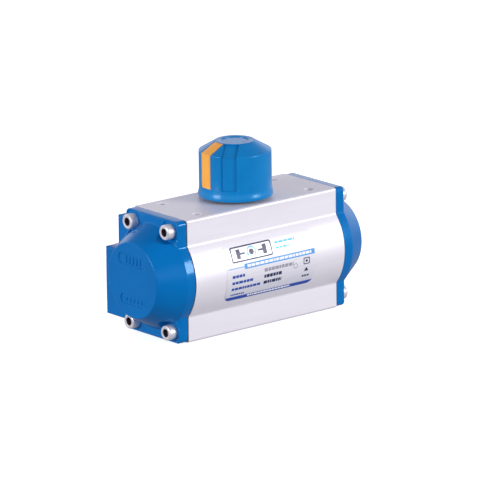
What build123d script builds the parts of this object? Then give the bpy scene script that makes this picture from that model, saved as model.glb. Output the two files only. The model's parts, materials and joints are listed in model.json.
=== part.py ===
from build123d import *
import math
import os

# Double-acting rack and pinion quarter-turn actuator, in millimetres.
# +X runs along the cylinder, +Y points to the rear (air interface) side, +Z is up.
# The origin is on the pinion's axis, in the plane of the valve mounting face.
# Everything is drawn at the closed stop, REST_ANGLE short of square with the body.

# ---- Driving dimensions -------------------------------------------------------
BODY_LENGTH = 106.0
BODY_HEIGHT = 69.0
BORE_RADIUS = 26.0
BARREL_RADIUS = 30.1
LUG_HALF_WIDTH = 22.8
REAR_FLAT_Y = 30.0
REAR_FLAT_TOP = 64.0
PAD_FACE_Y = 41.5
PAD_BOTTOM, PAD_TOP = 4.7, 43.9
OVERALL_LENGTH = 147.0
TRAVEL_DEG = 95.0
REST_ANGLE = -5.0

AXIS_Z = BODY_HEIGHT / 2
BODY_END = BODY_LENGTH / 2

# End caps and their screws
GASKET, GASKET_INSET = 0.5, 0.45
CAP_PLATE = 6.0
CAP_INSET = 0.3
CAP_FACE = BODY_END + GASKET + CAP_PLATE
BOSS_BASE_RADIUS, BOSS_END_RADIUS = 29.6, 21.2
CAP_WALL = 3.2
CAP_SCREW_Y, CAP_SCREW_Z = 16.0, 28.2
SPOTFACE_RADIUS, SPOTFACE_DEPTH = 6.6, 0.6
M5, M6 = 2.5, 3.0
M5_CLEARANCE, M6_CLEARANCE = 2.75, 3.3
M5_TAP, M6_TAP = 2.1, 2.5
M5_HEAD_RADIUS, M5_HEAD_HEIGHT, M5_SOCKET = 4.25, 5.0, 4.0
M6_HEAD_RADIUS, M6_HEAD_HEIGHT, M6_SOCKET = 5.0, 6.0, 5.0
CAP_SCREW_LENGTH = 16.0
BODY_LUG_CORNER, CAP_LUG_CORNER = 1.5, 2.4
CAP_EDGE_ROUND, BOSS_EDGE_ROUND = 0.9, 0.8
BADGE_DEPTH, BADGE_BAR_HEIGHT = 0.6, 0.5
UPPER_BADGE_Z, LOWER_BADGE_Z = AXIS_Z + 11.0, AXIS_Z - 11.5

# Gear pair: stub teeth, so that the small pinion isn't undercut
MODULE = 1.25
TEETH = 14
PRESSURE = math.radians(20)
PITCH_RADIUS = MODULE * TEETH / 2
BASE_RADIUS = PITCH_RADIUS * math.cos(PRESSURE)
ADDENDUM, DEDENDUM = 0.8 * MODULE, 1.0 * MODULE
PINION_THINNING, RACK_THINNING = 0.08, 0.04
RACK_PITCH = math.pi * MODULE
GEAR_BOTTOM, GEAR_HEIGHT = AXIS_Z - 10, 20.0
STROKE = PITCH_RADIUS * math.radians(TRAVEL_DEG)

# Pistons
PISTON_RADIUS = BORE_RADIUS - 0.2
PISTON_HEAD = 12.0
END_CLEARANCE = 0.5
PISTON_FACE = BODY_END - END_CLEARANCE - STROKE
PISTON_BACK = PISTON_FACE - PISTON_HEAD
POCKET_CIRCLE, POCKET_RADIUS, POCKET_DEPTH = 15.0, 4.8, 3.5
ARM_HALF_HEIGHT = 9.0
ARM_BACK_RADIUS = 23.5
SLIDING_RADIUS = BORE_RADIUS - 0.05
SEAL_GROOVE, SEAL_GROOVE_RADIUS = (1.8, 5.6), 22.8
BAND_GROOVE, BAND_GROOVE_RADIUS = (7.0, 11.0), 24.0
PAD_SPAN, PAD_HALF_HEIGHT = (1.0, 23.0), 8.0
PEG_RADIUS, PEG_X, PEG_INNER_Y = 2.5, 12.0, 18.0

# Pinion shaft
SPIGOT_RADIUS, SPIGOT_DEPTH = 12.5, 1.5
SHAFT_BOTTOM = 2.0
LOWER_RADIUS, UPPER_RADIUS = 10.0, 7.0
RUNNING = 0.05
LOWER_BUSH_RADIUS, UPPER_BUSH_RADIUS = 12.0, 9.0
LOWER_BUSH_Z, UPPER_BUSH_Z = (5.2, 8.4), (60.7, 65.0)
LOWER_SEAL_Z, UPPER_SEAL_Z = (2.8, 4.8), (65.8, 67.8)
SHAFT_TOP = BODY_HEIGHT + 20.0
DRIVE_SQUARE, DRIVE_DEPTH = 11.0, 13.0
SHAFT_FLATS = 11.0
SEAL_GROOVE_DEPTH = 1.6
CIRCLIP_Z = (BODY_HEIGHT + 2.4, BODY_HEIGHT + 3.4)
CIRCLIP_GROOVE_RADIUS = 6.5

# Travel stops
CAM_Z, CAM_RADIUS, CAM_HUB_RADIUS = (46.3, 53.3), 16.5, 9.5
CAM_FLATS = 12.0
STOP_X, STOP_Z, STOP_TIP_Y = 13.0, 50.5, 3.0
STOP_GAP = 0.08
STOP_WASHER, STOP_NUT = 1.2, 5.0
STOP_HEAD_Y, STOP_HEAD = 37.2, 4.0
HEX_M6 = 10.0

# Mounting patterns
TOP_X, TOP_Y, TOP_DEPTH, TOP_COUNTERSINK = 40.0, 15.0, 8.0, 0.6
FLANGE_SMALL, FLANGE_LARGE = 36.0, 50.0
FLANGE_SMALL_DEPTH, FLANGE_LARGE_DEPTH = 8.0, 9.0
PAD_Z = (PAD_BOTTOM + PAD_TOP) / 2
PORT_X, PORT_RADIUS, PORT_DEPTH = 12.0, 5.9, 12.0
PAD_HOLE_Z, PAD_HOLE_DEPTH = 16.0, 8.0
CHANNEL_Y, CHANNEL_Z, CHANNEL_RADIUS = 29.5, 12.0, 3.0

# Position indicator
KNOB_BOTTOM = BODY_HEIGHT + 1.6
KNOB_SHOULDER = BODY_HEIGHT + 26.8
KNOB_TOP = BODY_HEIGHT + 32.2
KNOB_RADIUS, KNOB_RIM_RADIUS, KNOB_TOP_RADIUS = 20.1, 20.7, 10.9
KNOB_RIM = 2.0
KNOB_WALL = 2.3
RIB_HALF = 0.9
KNOB_HOLE_RADIUS = 7.3
KNOB_HUB_RADIUS, KNOB_HUB_BOTTOM = 10.2, BODY_HEIGHT + 5.6
KNOB_FLOOR = 2.2
COVER_RADIUS, COVER_WALL, COVER_SUNK = 7.25, 1.2, 0.4
STRIPE_WIDTH, STRIPE_TOP_WIDTH = 8.6, 8.0
STRIPE_DEPTH, STRIPE_BOTTOM = 0.8, BODY_HEIGHT + 7.5
STRIPE_PLAY = 0.05
STRIPE_ANGLE, SPARE_SLOT_ANGLE = 180.0, 225.0

# Data label
LABEL_HALF_LENGTH, LABEL_HALF_HEIGHT, LABEL_THICKNESS = 31.5, 15.6, 0.2
LABEL_CORNER = 4.0
LABEL_CENTRE_Z = AXIS_Z + 0.9

SIDES = (-1, 1)


# ---- Helpers --------------------------------------------------------------------
def x_cylinder(radius, x0, x1, y=0.0, z=AXIS_Z):
    """Cylinder along X between two stations."""
    low, high = sorted((x0, x1))
    return Pos((low + high) / 2, y, z) * Rot(0, 90, 0) * Cylinder(radius, high - low)


def y_cylinder(radius, y0, y1, x, z):
    """Cylinder along Y between two stations."""
    low, high = sorted((y0, y1))
    return Pos(x, (low + high) / 2, z) * Rot(90, 0, 0) * Cylinder(radius, high - low)


def z_cylinder(radius, z0, z1, x=0.0, y=0.0):
    """Cylinder along Z between two heights."""
    return Pos(x, y, (z0 + z1) / 2) * Cylinder(radius, z1 - z0)


def box_between(x, y, z):
    """Box given by three (low, high) pairs."""
    centre = Pos((x[0] + x[1]) / 2, (y[0] + y[1]) / 2, (z[0] + z[1]) / 2)
    return centre * Box(x[1] - x[0], y[1] - y[0], z[1] - z[0])


def rectangle_between(u, v):
    """Flat rectangle given by two (low, high) pairs."""
    return Pos((u[0] + u[1]) / 2, (v[0] + v[1]) / 2) * Rectangle(u[1] - u[0], v[1] - v[0])


def turned_by(angle, shape):
    """The shape turned about the pinion's axis, in degrees."""
    return Rot(0, 0, angle) * shape


def socket_screw(radius, length, head_radius, head_height, socket):
    """Socket head cap screw along +Z, its head's seat at z = 0 and its shank below."""
    head = z_cylinder(head_radius, 0, head_height)
    head = fillet(head.edges().group_by(Axis.Z)[-1], 0.45)
    shank = z_cylinder(radius, -length, 0)
    shank = chamfer(shank.edges().group_by(Axis.Z)[0], 0.5)
    depth = head_height * 0.55
    hexagon = RegularPolygon(socket / 2, 6, major_radius=False)
    recess = Pos(0, 0, head_height - depth) * extrude(hexagon, depth)
    return head + shank - recess


# ---- Section of the extrusion -----------------------------------------------------
def section(inset, lug_corner):
    """Outline across the length: square lugs, round barrel, rear flat and air pad."""
    half = LUG_HALF_WIDTH - inset
    flat_y, flat_top = REAR_FLAT_Y - inset, REAR_FLAT_TOP - inset
    pad_y, pad_low, pad_high = PAD_FACE_Y - inset, PAD_BOTTOM + inset, PAD_TOP - inset
    lugs = Pos(0, AXIS_Z) * RectangleRounded(2 * half, BODY_HEIGHT - 2 * inset, lug_corner)
    barrel = Pos(0, AXIS_Z) * Circle(BARREL_RADIUS - inset)
    flat = rectangle_between((0, flat_y), (AXIS_Z, flat_top))
    pad = rectangle_between((0, pad_y), (pad_low, pad_high))
    outline = lugs + barrel + flat + pad
    meets = math.sqrt((BARREL_RADIUS - inset) ** 2 - half**2)
    corners = [
        ((-half, AXIS_Z + meets), 2.0),
        ((-half, AXIS_Z - meets), 2.0),
        ((flat_y, flat_top), 1.0),
        ((half, flat_top), 1.2),
        ((pad_y, pad_high), 1.0),
        ((flat_y, pad_high), 1.2),
        ((pad_y, pad_low), 1.0),
        ((half, pad_low), 1.2),
    ]
    for (y, z), radius in corners:
        corner = outline.vertices().sort_by_distance((y, z, 0))[0]
        outline = fillet(corner, radius)
    return outline


def cap_screw_places():
    """(y, z) of the four screws of an end cap."""
    return [(sy * CAP_SCREW_Y, AXIS_Z + sz * CAP_SCREW_Z) for sy in SIDES for sz in SIDES]


# ---- Housing ------------------------------------------------------------------------
def flange_holes():
    """Both bolt circles of the valve flange, on its diagonals."""
    sizes = [
        (FLANGE_SMALL / 2, M5_TAP, FLANGE_SMALL_DEPTH),
        (FLANGE_LARGE / 2, M6_TAP, FLANGE_LARGE_DEPTH),
    ]
    return [
        z_cylinder(radius, 0, depth, sx * circle * math.sqrt(0.5), sy * circle * math.sqrt(0.5))
        for circle, radius, depth in sizes
        for sx in SIDES
        for sy in SIDES
    ]


def top_holes():
    """Accessory bracket holes round the pinion, each with a countersunk mouth."""
    drill = z_cylinder(M5_TAP, -TOP_DEPTH, 0)
    mouth = Pos(0, 0, -TOP_COUNTERSINK / 2)
    mouth *= Cone(M5_TAP, M5_TAP + TOP_COUNTERSINK, TOP_COUNTERSINK)
    return [
        Pos(sx * TOP_X, sy * TOP_Y, BODY_HEIGHT) * hole
        for sx in SIDES
        for sy in SIDES
        for hole in (drill, mouth)
    ]


def air_passages():
    """Ports, interface holes, and the drillings that feed the middle and the ends."""
    floor = PAD_FACE_Y - PORT_DEPTH
    cuts = [y_cylinder(PORT_RADIUS, floor, PAD_FACE_Y, sx * PORT_X, PAD_Z) for sx in SIDES]
    cuts += [
        y_cylinder(M5_TAP, PAD_FACE_Y - PAD_HOLE_DEPTH, PAD_FACE_Y, sx * PORT_X, PAD_Z + sz * PAD_HOLE_Z)
        for sx in SIDES
        for sz in SIDES
    ]
    cuts.append(y_cylinder(M5, BORE_RADIUS - 4, floor, -PORT_X, PAD_Z))
    cuts.append(x_cylinder(CHANNEL_RADIUS, -BODY_END, BODY_END, CHANNEL_Y, CHANNEL_Z))
    cuts.append(z_cylinder(M5, CHANNEL_Z, PAD_Z, PORT_X, floor + 2))
    return cuts


def shaft_openings():
    """Stepped openings for the pinion through the bottom and top walls."""
    upper_step = UPPER_BUSH_Z[1]
    return [
        z_cylinder(SPIGOT_RADIUS, 0, SPIGOT_DEPTH),
        z_cylinder(LOWER_RADIUS + RUNNING, 0, AXIS_Z),
        z_cylinder(LOWER_BUSH_RADIUS, LOWER_BUSH_Z[0], AXIS_Z),
        z_cylinder(UPPER_BUSH_RADIUS, AXIS_Z, upper_step),
        z_cylinder(UPPER_RADIUS + RUNNING, AXIS_Z, BODY_HEIGHT),
    ]


def body_extrusion():
    """Extruded body, bored for the pistons and machined for everything that fastens to it."""
    body = extrude(Plane.YZ * section(0, BODY_LUG_CORNER), BODY_END, both=True)
    cuts = [x_cylinder(BORE_RADIUS, -BODY_END, BODY_END)]
    cuts += shaft_openings() + flange_holes() + top_holes() + air_passages()
    depth = CAP_SCREW_LENGTH - (CAP_FACE - SPOTFACE_DEPTH - BODY_END) + 0.4
    for side in SIDES:
        for y, z in cap_screw_places():
            cuts.append(x_cylinder(M5, side * (BODY_END - depth), side * BODY_END, y, z))
        cuts.append(y_cylinder(M6, 0, REAR_FLAT_Y, side * STOP_X, STOP_Z))
    for cut in cuts:
        body -= cut
    return body


def cap_badge():
    """Blank cast badges on the boss's end face: a stepped panel above, a framed bar below.

    Drawn on the YZ plane as (recess, raised bars), to be placed at the end face.
    """
    upper = Pos(0, UPPER_BADGE_Z) * SlotOverall(24, 6.6)
    lower = Pos(0, LOWER_BADGE_Z) * RectangleRounded(21, 5.6, 2.2)
    bars = [Pos(-6 + 3 * i, UPPER_BADGE_Z) * RectangleRounded(1.7, 4.2, 0.5) for i in range(5)]
    bars += [Pos(-6.4 + 3.2 * i, LOWER_BADGE_Z) * RectangleRounded(2.2, 2.2, 0.5) for i in range(5)]
    return upper + lower, bars


def end_cap(side):
    """Die-cast end cap: plate, hollow conical boss, spotfaces and the air groove."""
    inner = BODY_END + GASKET
    end = OVERALL_LENGTH / 2
    plate = extrude(Plane.YZ.offset(inner) * section(CAP_INSET, CAP_LUG_CORNER), CAP_PLATE)
    rim = plate.edges().group_by(Axis.X)[-1]
    plate = fillet(rim, CAP_EDGE_ROUND)
    taper = [(CAP_FACE - 1, BOSS_BASE_RADIUS), (CAP_FACE, BOSS_BASE_RADIUS), (end, BOSS_END_RADIUS)]
    outer = Polyline((CAP_FACE - 1, 0), *taper, (end, 0), close=True)
    boss = Pos(0, 0, AXIS_Z) * revolve(make_face(Plane.XZ * outer), Axis.X)
    boss = fillet(boss.edges().group_by(Axis.X)[-1], BOSS_EDGE_ROUND)
    cap = plate + boss
    hollow_end = end - CAP_WALL
    slope = (BOSS_BASE_RADIUS - BOSS_END_RADIUS) / (end - CAP_FACE)
    mouth = BOSS_END_RADIUS - CAP_WALL + slope * (hollow_end - inner) * 0.45
    hollow = Polyline(
        (inner, 0), (inner, mouth), (hollow_end, BOSS_END_RADIUS - CAP_WALL), (hollow_end, 0), close=True
    )
    cap -= Pos(0, 0, AXIS_Z) * revolve(make_face(Plane.XZ * hollow), Axis.X)
    for y, z in cap_screw_places():
        cap -= x_cylinder(M5_CLEARANCE, inner, CAP_FACE, y, z)
        cap -= x_cylinder(SPOTFACE_RADIUS, CAP_FACE - SPOTFACE_DEPTH, end, y, z)
    groove_start = Vector(CHANNEL_Y, CHANNEL_Z)
    groove_end = Vector(14, AXIS_Z - 14)
    groove = SlotCenterToCenter((groove_end - groove_start).length, 2 * CHANNEL_RADIUS)
    middle = (groove_start + groove_end) / 2
    lean = math.degrees(math.atan2(groove_end.Y - groove_start.Y, groove_end.X - groove_start.X))
    groove = Pos(middle.X, middle.Y) * Rot(0, 0, lean) * groove
    cap -= extrude(Plane.YZ.offset(inner) * groove, CAP_PLATE / 2)
    recess, bars = cap_badge()
    badge = extrude(Plane.YZ.offset(end - BADGE_DEPTH) * recess, BADGE_DEPTH)
    for bar in bars:
        badge -= extrude(Plane.YZ.offset(end - BADGE_DEPTH) * bar, BADGE_BAR_HEIGHT)
    cap -= badge
    return cap if side > 0 else mirror(cap, Plane.YZ)


def cap_gasket(side):
    """Flat seal between the body's end and a cap, open at the bore and the air channel."""
    shape = extrude(Plane.YZ.offset(BODY_END) * section(GASKET_INSET, BODY_LUG_CORNER), GASKET)
    shape -= x_cylinder(BORE_RADIUS, BODY_END, BODY_END + GASKET)
    shape -= x_cylinder(CHANNEL_RADIUS, BODY_END, BODY_END + GASKET, CHANNEL_Y, CHANNEL_Z)
    for y, z in cap_screw_places():
        shape -= x_cylinder(M5_CLEARANCE, BODY_END, BODY_END + GASKET, y, z)
    return shape if side > 0 else mirror(shape, Plane.YZ)


def cap_screws(side):
    """The four screws of one end cap."""
    seat = CAP_FACE - SPOTFACE_DEPTH
    screw = socket_screw(M5, CAP_SCREW_LENGTH, M5_HEAD_RADIUS, M5_HEAD_HEIGHT, M5_SOCKET)
    turns = (10, 35, 50, 22)
    placed = [
        Pos(side * seat, y, z) * Rot(0, side * 90, 0) * Rot(0, 0, turn) * screw
        for (y, z), turn in zip(cap_screw_places(), turns)
    ]
    return Compound(children=placed)


def shaft_bush(radius, wall_radius, heights):
    """Plain bearing pressed into the body round the pinion."""
    return z_cylinder(wall_radius, *heights) - z_cylinder(radius + RUNNING, *heights)


def data_label():
    """Thin blank plate wrapped on the front of the barrel."""
    outer = BARREL_RADIUS + LABEL_THICKNESS
    ring = x_cylinder(outer, -LABEL_HALF_LENGTH, LABEL_HALF_LENGTH)
    ring -= x_cylinder(BARREL_RADIUS, -LABEL_HALF_LENGTH, LABEL_HALF_LENGTH)
    shape = RectangleRounded(2 * LABEL_HALF_LENGTH, 2 * LABEL_HALF_HEIGHT, LABEL_CORNER)
    front = Plane(origin=(0, 0, LABEL_CENTRE_Z), x_dir=(1, 0, 0), z_dir=(0, -1, 0))
    return ring & extrude(front * shape, outer + 1)


# ---- Travel stops -------------------------------------------------------------------
def hexagon_y(across, y0, y1, x, z):
    """Hexagonal prism along Y, with flats above and below."""
    plane = Plane(origin=(x, y0, z), x_dir=(1, 0, 0), z_dir=(0, 1, 0))
    return extrude(plane * RegularPolygon(across / 2, 6, major_radius=False, rotation=30), y1 - y0)


def stop_screw(x):
    """Hexagon screw through the rear flat, its tip facing one side of the cam."""
    tip = STOP_TIP_Y + STOP_GAP
    shank = y_cylinder(M6, tip, STOP_HEAD_Y, x, STOP_Z)
    shank = chamfer(shank.edges().group_by(Axis.Y)[0], 0.6)
    head = hexagon_y(HEX_M6, STOP_HEAD_Y, STOP_HEAD_Y + STOP_HEAD, x, STOP_Z)
    crown = Pos(x, STOP_HEAD_Y + STOP_HEAD, STOP_Z) * Rot(90, 0, 0) * Cone(HEX_M6, HEX_M6 / 2, 5.0)
    crown = Pos(0, -2.5, 0) * crown
    return shank + (head & (crown + y_cylinder(HEX_M6, STOP_HEAD_Y, STOP_HEAD_Y + 1, x, STOP_Z)))


def stop_nut(x):
    """Lock nut of a stop screw."""
    low = REAR_FLAT_Y + STOP_WASHER
    nut = hexagon_y(HEX_M6, low, low + STOP_NUT, x, STOP_Z)
    return nut - y_cylinder(M6, low, low + STOP_NUT, x, STOP_Z)


def stop_seal(x):
    """Sealing washer under a lock nut."""
    high = REAR_FLAT_Y + STOP_WASHER
    ring = y_cylinder(HEX_M6 / 2, REAR_FLAT_Y, high, x, STOP_Z)
    return ring - y_cylinder(M6, REAR_FLAT_Y, high, x, STOP_Z)


def stop_cam():
    """Quadrant cam keyed to the pinion: each straight side meets one stop screw."""
    reach = 2 * CAM_RADIUS
    closed_side = Pos(0, STOP_TIP_Y - reach / 2) * Rectangle(2 * reach, reach)
    open_side = Rot(0, 0, -TRAVEL_DEG) * closed_side
    outline = (Circle(CAM_RADIUS) & closed_side & open_side) + Circle(CAM_HUB_RADIUS)
    bore = Circle(UPPER_RADIUS) & Rectangle(reach, CAM_FLATS)
    outline -= Rot(0, 0, REST_ANGLE) * bore
    return Pos(0, 0, CAM_Z[0]) * extrude(outline, CAM_Z[1] - CAM_Z[0])


# ---- Pinion -------------------------------------------------------------------------
def involute(radius):
    """Involute function at a radius outside the base circle."""
    angle = math.acos(BASE_RADIUS / radius)
    return math.tan(angle) - angle


def half_tooth(radius):
    """Half the angle of a pinion tooth at a radius; the flanks are radial inside the base circle."""
    at_pitch = (RACK_PITCH / 2 - PINION_THINNING) / (2 * PITCH_RADIUS)
    return at_pitch + involute(PITCH_RADIUS) - involute(max(radius, BASE_RADIUS))


def on_circle(radius, angle):
    """Point at a radius and an angle in radians."""
    return (radius * math.cos(angle), radius * math.sin(angle))


def gear_face():
    """Pinion teeth, with a tooth space on +Y and on -Y."""
    root, tip = PITCH_RADIUS - DEDENDUM, PITCH_RADIUS + ADDENDUM
    step = 2 * math.pi / TEETH
    edges = []
    for tooth in range(TEETH):
        centre = math.pi / 2 + (tooth + 0.5) * step
        for side in SIDES:
            line = [on_circle(r, centre + side * half_tooth(r)) for r in (root, BASE_RADIUS)]
            edges.append(Line(*line))
            flank = (BASE_RADIUS, PITCH_RADIUS, tip)
            edges.append(ThreePointArc(*[on_circle(r, centre + side * half_tooth(r)) for r in flank]))
        crest = [on_circle(tip, centre + side * half_tooth(tip)) for side in SIDES]
        edges.append(ThreePointArc(crest[0], on_circle(tip, centre), crest[1]))
        start = centre + half_tooth(root)
        end = centre + step - half_tooth(root)
        arc = [on_circle(root, a) for a in (start, (start + end) / 2, end)]
        edges.append(ThreePointArc(*arc))
    return make_face(edges)


def groove(radius, shaft_radius, heights):
    """Ring to cut from a shaft."""
    return z_cylinder(shaft_radius + 1, *heights) - z_cylinder(radius, *heights)


def drive_pinion():
    """Shaft and pinion in one piece: valve drive below, teeth in the middle, flats on top."""
    gear_top = GEAR_BOTTOM + GEAR_HEIGHT
    shaft = z_cylinder(LOWER_RADIUS, SHAFT_BOTTOM, GEAR_BOTTOM)
    shaft += Pos(0, 0, GEAR_BOTTOM) * extrude(gear_face(), GEAR_HEIGHT)
    collar = z_cylinder(UPPER_RADIUS + 1.5, gear_top, CAM_Z[0])
    keyed = z_cylinder(UPPER_RADIUS, CAM_Z[0], CAM_Z[1])
    keyed &= box_between((-20, 20), (-CAM_FLATS / 2, CAM_FLATS / 2), CAM_Z)
    upper = z_cylinder(UPPER_RADIUS, CAM_Z[1], KNOB_HUB_BOTTOM - 0.4)
    end_z = (KNOB_HUB_BOTTOM - 0.4, SHAFT_TOP)
    end = z_cylinder(UPPER_RADIUS, *end_z)
    end &= box_between((-20, 20), (-SHAFT_FLATS / 2, SHAFT_FLATS / 2), end_z)
    end = chamfer(end.edges().group_by(Axis.Z)[-1], 0.5)
    shaft += collar + turned_by(REST_ANGLE, keyed) + upper + turned_by(REST_ANGLE, end)
    square = extrude(Rectangle(DRIVE_SQUARE, DRIVE_SQUARE), DRIVE_DEPTH)
    star = square + Rot(0, 0, 45) * square
    shaft -= Pos(0, 0, SHAFT_BOTTOM) * turned_by(REST_ANGLE, star)
    shaft -= z_cylinder(M6, SHAFT_TOP - 12, SHAFT_TOP)
    shaft -= groove(LOWER_RADIUS - SEAL_GROOVE_DEPTH, LOWER_RADIUS, LOWER_SEAL_Z)
    shaft -= groove(UPPER_RADIUS - SEAL_GROOVE_DEPTH, UPPER_RADIUS, UPPER_SEAL_Z)
    shaft -= groove(CIRCLIP_GROOVE_RADIUS, UPPER_RADIUS, CIRCLIP_Z)
    return shaft


def shaft_seal(shaft_radius, heights):
    """O-ring squeezed into its groove."""
    low, high = heights[0] + 0.1, heights[1] - 0.1
    ring = z_cylinder(shaft_radius + RUNNING / 2, low, high)
    ring -= z_cylinder(shaft_radius - SEAL_GROOVE_DEPTH, low, high)
    return fillet(ring.edges(), 0.6)


def washer(radius, hole, heights):
    """Flat ring or sleeve round the shaft."""
    return z_cylinder(radius, *heights) - z_cylinder(hole, *heights)


def circlip():
    """External retaining ring with two plier eyes."""
    ring = Circle(9.0) - Circle(CIRCLIP_GROOVE_RADIUS + 0.05)
    ring -= Pos(10, 0) * Rectangle(20, 5)
    for side in SIDES:
        ring += Pos(8.4, side * 4.0) * (Circle(1.9) - Circle(0.8))
    height = CIRCLIP_Z[1] - CIRCLIP_Z[0] - 0.1
    return Pos(0, 0, CIRCLIP_Z[0] + 0.05) * turned_by(40, extrude(ring, height))


# ---- Position indicator -------------------------------------------------------------
def knob_profile(inward):
    """Outer shape of the indicator, moved inward by a distance, as a solid of revolution."""
    slope = math.atan2(KNOB_TOP - KNOB_SHOULDER, KNOB_RADIUS - KNOB_TOP_RADIUS)
    drop = inward * math.tan((math.pi / 2 - slope) / 2)
    shift = inward / math.sin(slope) if inward else 0.0
    points = [
        (0, KNOB_BOTTOM),
        (KNOB_RIM_RADIUS - inward, KNOB_BOTTOM),
        (KNOB_RIM_RADIUS - inward, KNOB_BOTTOM + KNOB_RIM),
        (KNOB_RADIUS + 0.2 - inward, KNOB_BOTTOM + KNOB_RIM + 0.5),
        (KNOB_RADIUS - inward, KNOB_SHOULDER - drop),
        (KNOB_TOP_RADIUS - shift, KNOB_TOP),
        (0, KNOB_TOP),
    ]
    return revolve(make_face(Plane.XZ * Polyline(*points, close=True)), Axis.Z)


def stripe(angle, proud, play):
    """The strip of the indicator's skin between its slot's floor and its outside."""
    skin = knob_profile(-proud) - knob_profile(STRIPE_DEPTH - play)
    inner, outer = KNOB_TOP_RADIUS + 0.1 + play, KNOB_RADIUS
    narrow, wide = STRIPE_TOP_WIDTH / 2 - play, STRIPE_WIDTH / 2 - play
    far = KNOB_RADIUS + 5
    edge = [(inner, -narrow), (outer, -wide), (far, -wide), (far, wide), (outer, wide), (inner, narrow)]
    low = STRIPE_BOTTOM + play
    window = Pos(0, 0, low) * extrude(make_face(Polyline(*edge, close=True)), KNOB_TOP - low)
    return skin & turned_by(angle + REST_ANGLE, window)


def position_indicator():
    """Hollow knob with a hub keyed to the shaft, two coloured strips and two spare slots."""
    floor_z = SHAFT_TOP + KNOB_FLOOR
    knob = knob_profile(0)
    inside = knob_profile(KNOB_WALL)
    inside &= z_cylinder(30, KNOB_BOTTOM, KNOB_SHOULDER - 2)
    inside += z_cylinder(KNOB_RADIUS - KNOB_WALL, KNOB_BOTTOM, KNOB_BOTTOM + 3)
    inside -= z_cylinder(KNOB_HUB_RADIUS, KNOB_HUB_BOTTOM, KNOB_TOP)
    for angle in range(0, 180, 45):
        rib = box_between((-30, 30), (-RIB_HALF, RIB_HALF), (KNOB_HUB_BOTTOM, KNOB_TOP))
        inside -= turned_by(angle + 22.5 + REST_ANGLE, rib)
    knob -= inside
    knob -= z_cylinder(KNOB_HOLE_RADIUS, floor_z, KNOB_TOP)
    socket = z_cylinder(UPPER_RADIUS, KNOB_HUB_BOTTOM, SHAFT_TOP)
    socket &= box_between((-20, 20), (-SHAFT_FLATS / 2, SHAFT_FLATS / 2), (KNOB_HUB_BOTTOM, SHAFT_TOP))
    knob -= turned_by(REST_ANGLE, socket)
    knob -= z_cylinder(M6_CLEARANCE, SHAFT_TOP, floor_z)
    for half_turn in (0, 180):
        for angle in (STRIPE_ANGLE, SPARE_SLOT_ANGLE):
            knob -= stripe(angle + half_turn, 1.0, 0.0)
    return knob


def indicator_stripes():
    """The two coloured strips."""
    return Compound(children=[stripe(STRIPE_ANGLE + turn, -0.05, STRIPE_PLAY) for turn in (0, 180)])


def indicator_screw():
    """Screw that holds the indicator on the shaft."""
    screw = socket_screw(M6, 10 + KNOB_FLOOR, M6_HEAD_RADIUS, M6_HEAD_HEIGHT, M6_SOCKET)
    return Pos(0, 0, SHAFT_TOP + KNOB_FLOOR) * turned_by(12, screw)


def indicator_cover():
    """Plain cap pressed into the indicator's counterbore, over the screw."""
    floor_z, top = SHAFT_TOP + KNOB_FLOOR, KNOB_TOP - COVER_SUNK
    cover = z_cylinder(COVER_RADIUS, floor_z, top)
    cover = fillet(cover.edges().group_by(Axis.Z)[-1], 0.2)
    return cover - z_cylinder(COVER_RADIUS - COVER_WALL, floor_z, top - COVER_WALL)


# ---- Pistons ------------------------------------------------------------------------
# Drawn for the left piston, whose rack lies behind the pinion; the right one is the
# same piece turned half round the pinion's axis.
def rack_arm():
    """Rack with its back on a smaller circle than the bore."""
    tip, root = PITCH_RADIUS - ADDENDUM, PITCH_RADIUS + DEDENDUM
    far = PISTON_BACK - 1.2
    bar = rectangle_between((-PISTON_BACK, far), (tip, BORE_RADIUS))
    first = math.ceil(-(far - 4) / RACK_PITCH)
    last = math.floor((far - 0.5) / RACK_PITCH)
    for space in range(first, last + 1):
        centre = (space + 0.5) * RACK_PITCH
        half_pitch = RACK_PITCH / 4 + RACK_THINNING / 2
        wide = half_pitch + ADDENDUM * math.tan(PRESSURE)
        narrow = half_pitch - DEDENDUM * math.tan(PRESSURE)
        mouth = [(centre - wide, tip), (centre + wide, tip)]
        floor = [(centre + narrow, root), (centre - narrow, root)]
        bar -= make_face(Polyline(*mouth, *floor, close=True))
    arm = Pos(0, 0, AXIS_Z - ARM_HALF_HEIGHT) * extrude(bar, 2 * ARM_HALF_HEIGHT)
    return arm & x_cylinder(ARM_BACK_RADIUS, -PISTON_BACK, far)


def ring_cut(radius, span):
    """Groove round the left piston's head, span measured from its outer face."""
    x0, x1 = -PISTON_FACE + span[0], -PISTON_FACE + span[1]
    return x_cylinder(BORE_RADIUS, x0, x1) - x_cylinder(radius, x0, x1)


def pad_peg():
    """Peg that holds the back pad in the arm."""
    return y_cylinder(PEG_RADIUS, PEG_INNER_Y, ARM_BACK_RADIUS + 0.6, PEG_X, AXIS_Z)


def left_piston():
    """Piston head and rack in one die casting."""
    head = x_cylinder(PISTON_RADIUS, -PISTON_FACE, -PISTON_BACK)
    piston = head + rack_arm()
    piston -= ring_cut(SEAL_GROOVE_RADIUS, SEAL_GROOVE)
    piston -= ring_cut(BAND_GROOVE_RADIUS, BAND_GROOVE)
    piston -= x_cylinder(7.5, -PISTON_FACE, -PISTON_FACE + 5)
    for quarter in range(4):
        angle = math.radians(45 + 90 * quarter)
        y, z = POCKET_CIRCLE * math.cos(angle), AXIS_Z + POCKET_CIRCLE * math.sin(angle)
        piston -= x_cylinder(POCKET_RADIUS, -PISTON_FACE, -PISTON_FACE + POCKET_DEPTH, y, z)
    return piston - pad_peg()


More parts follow.
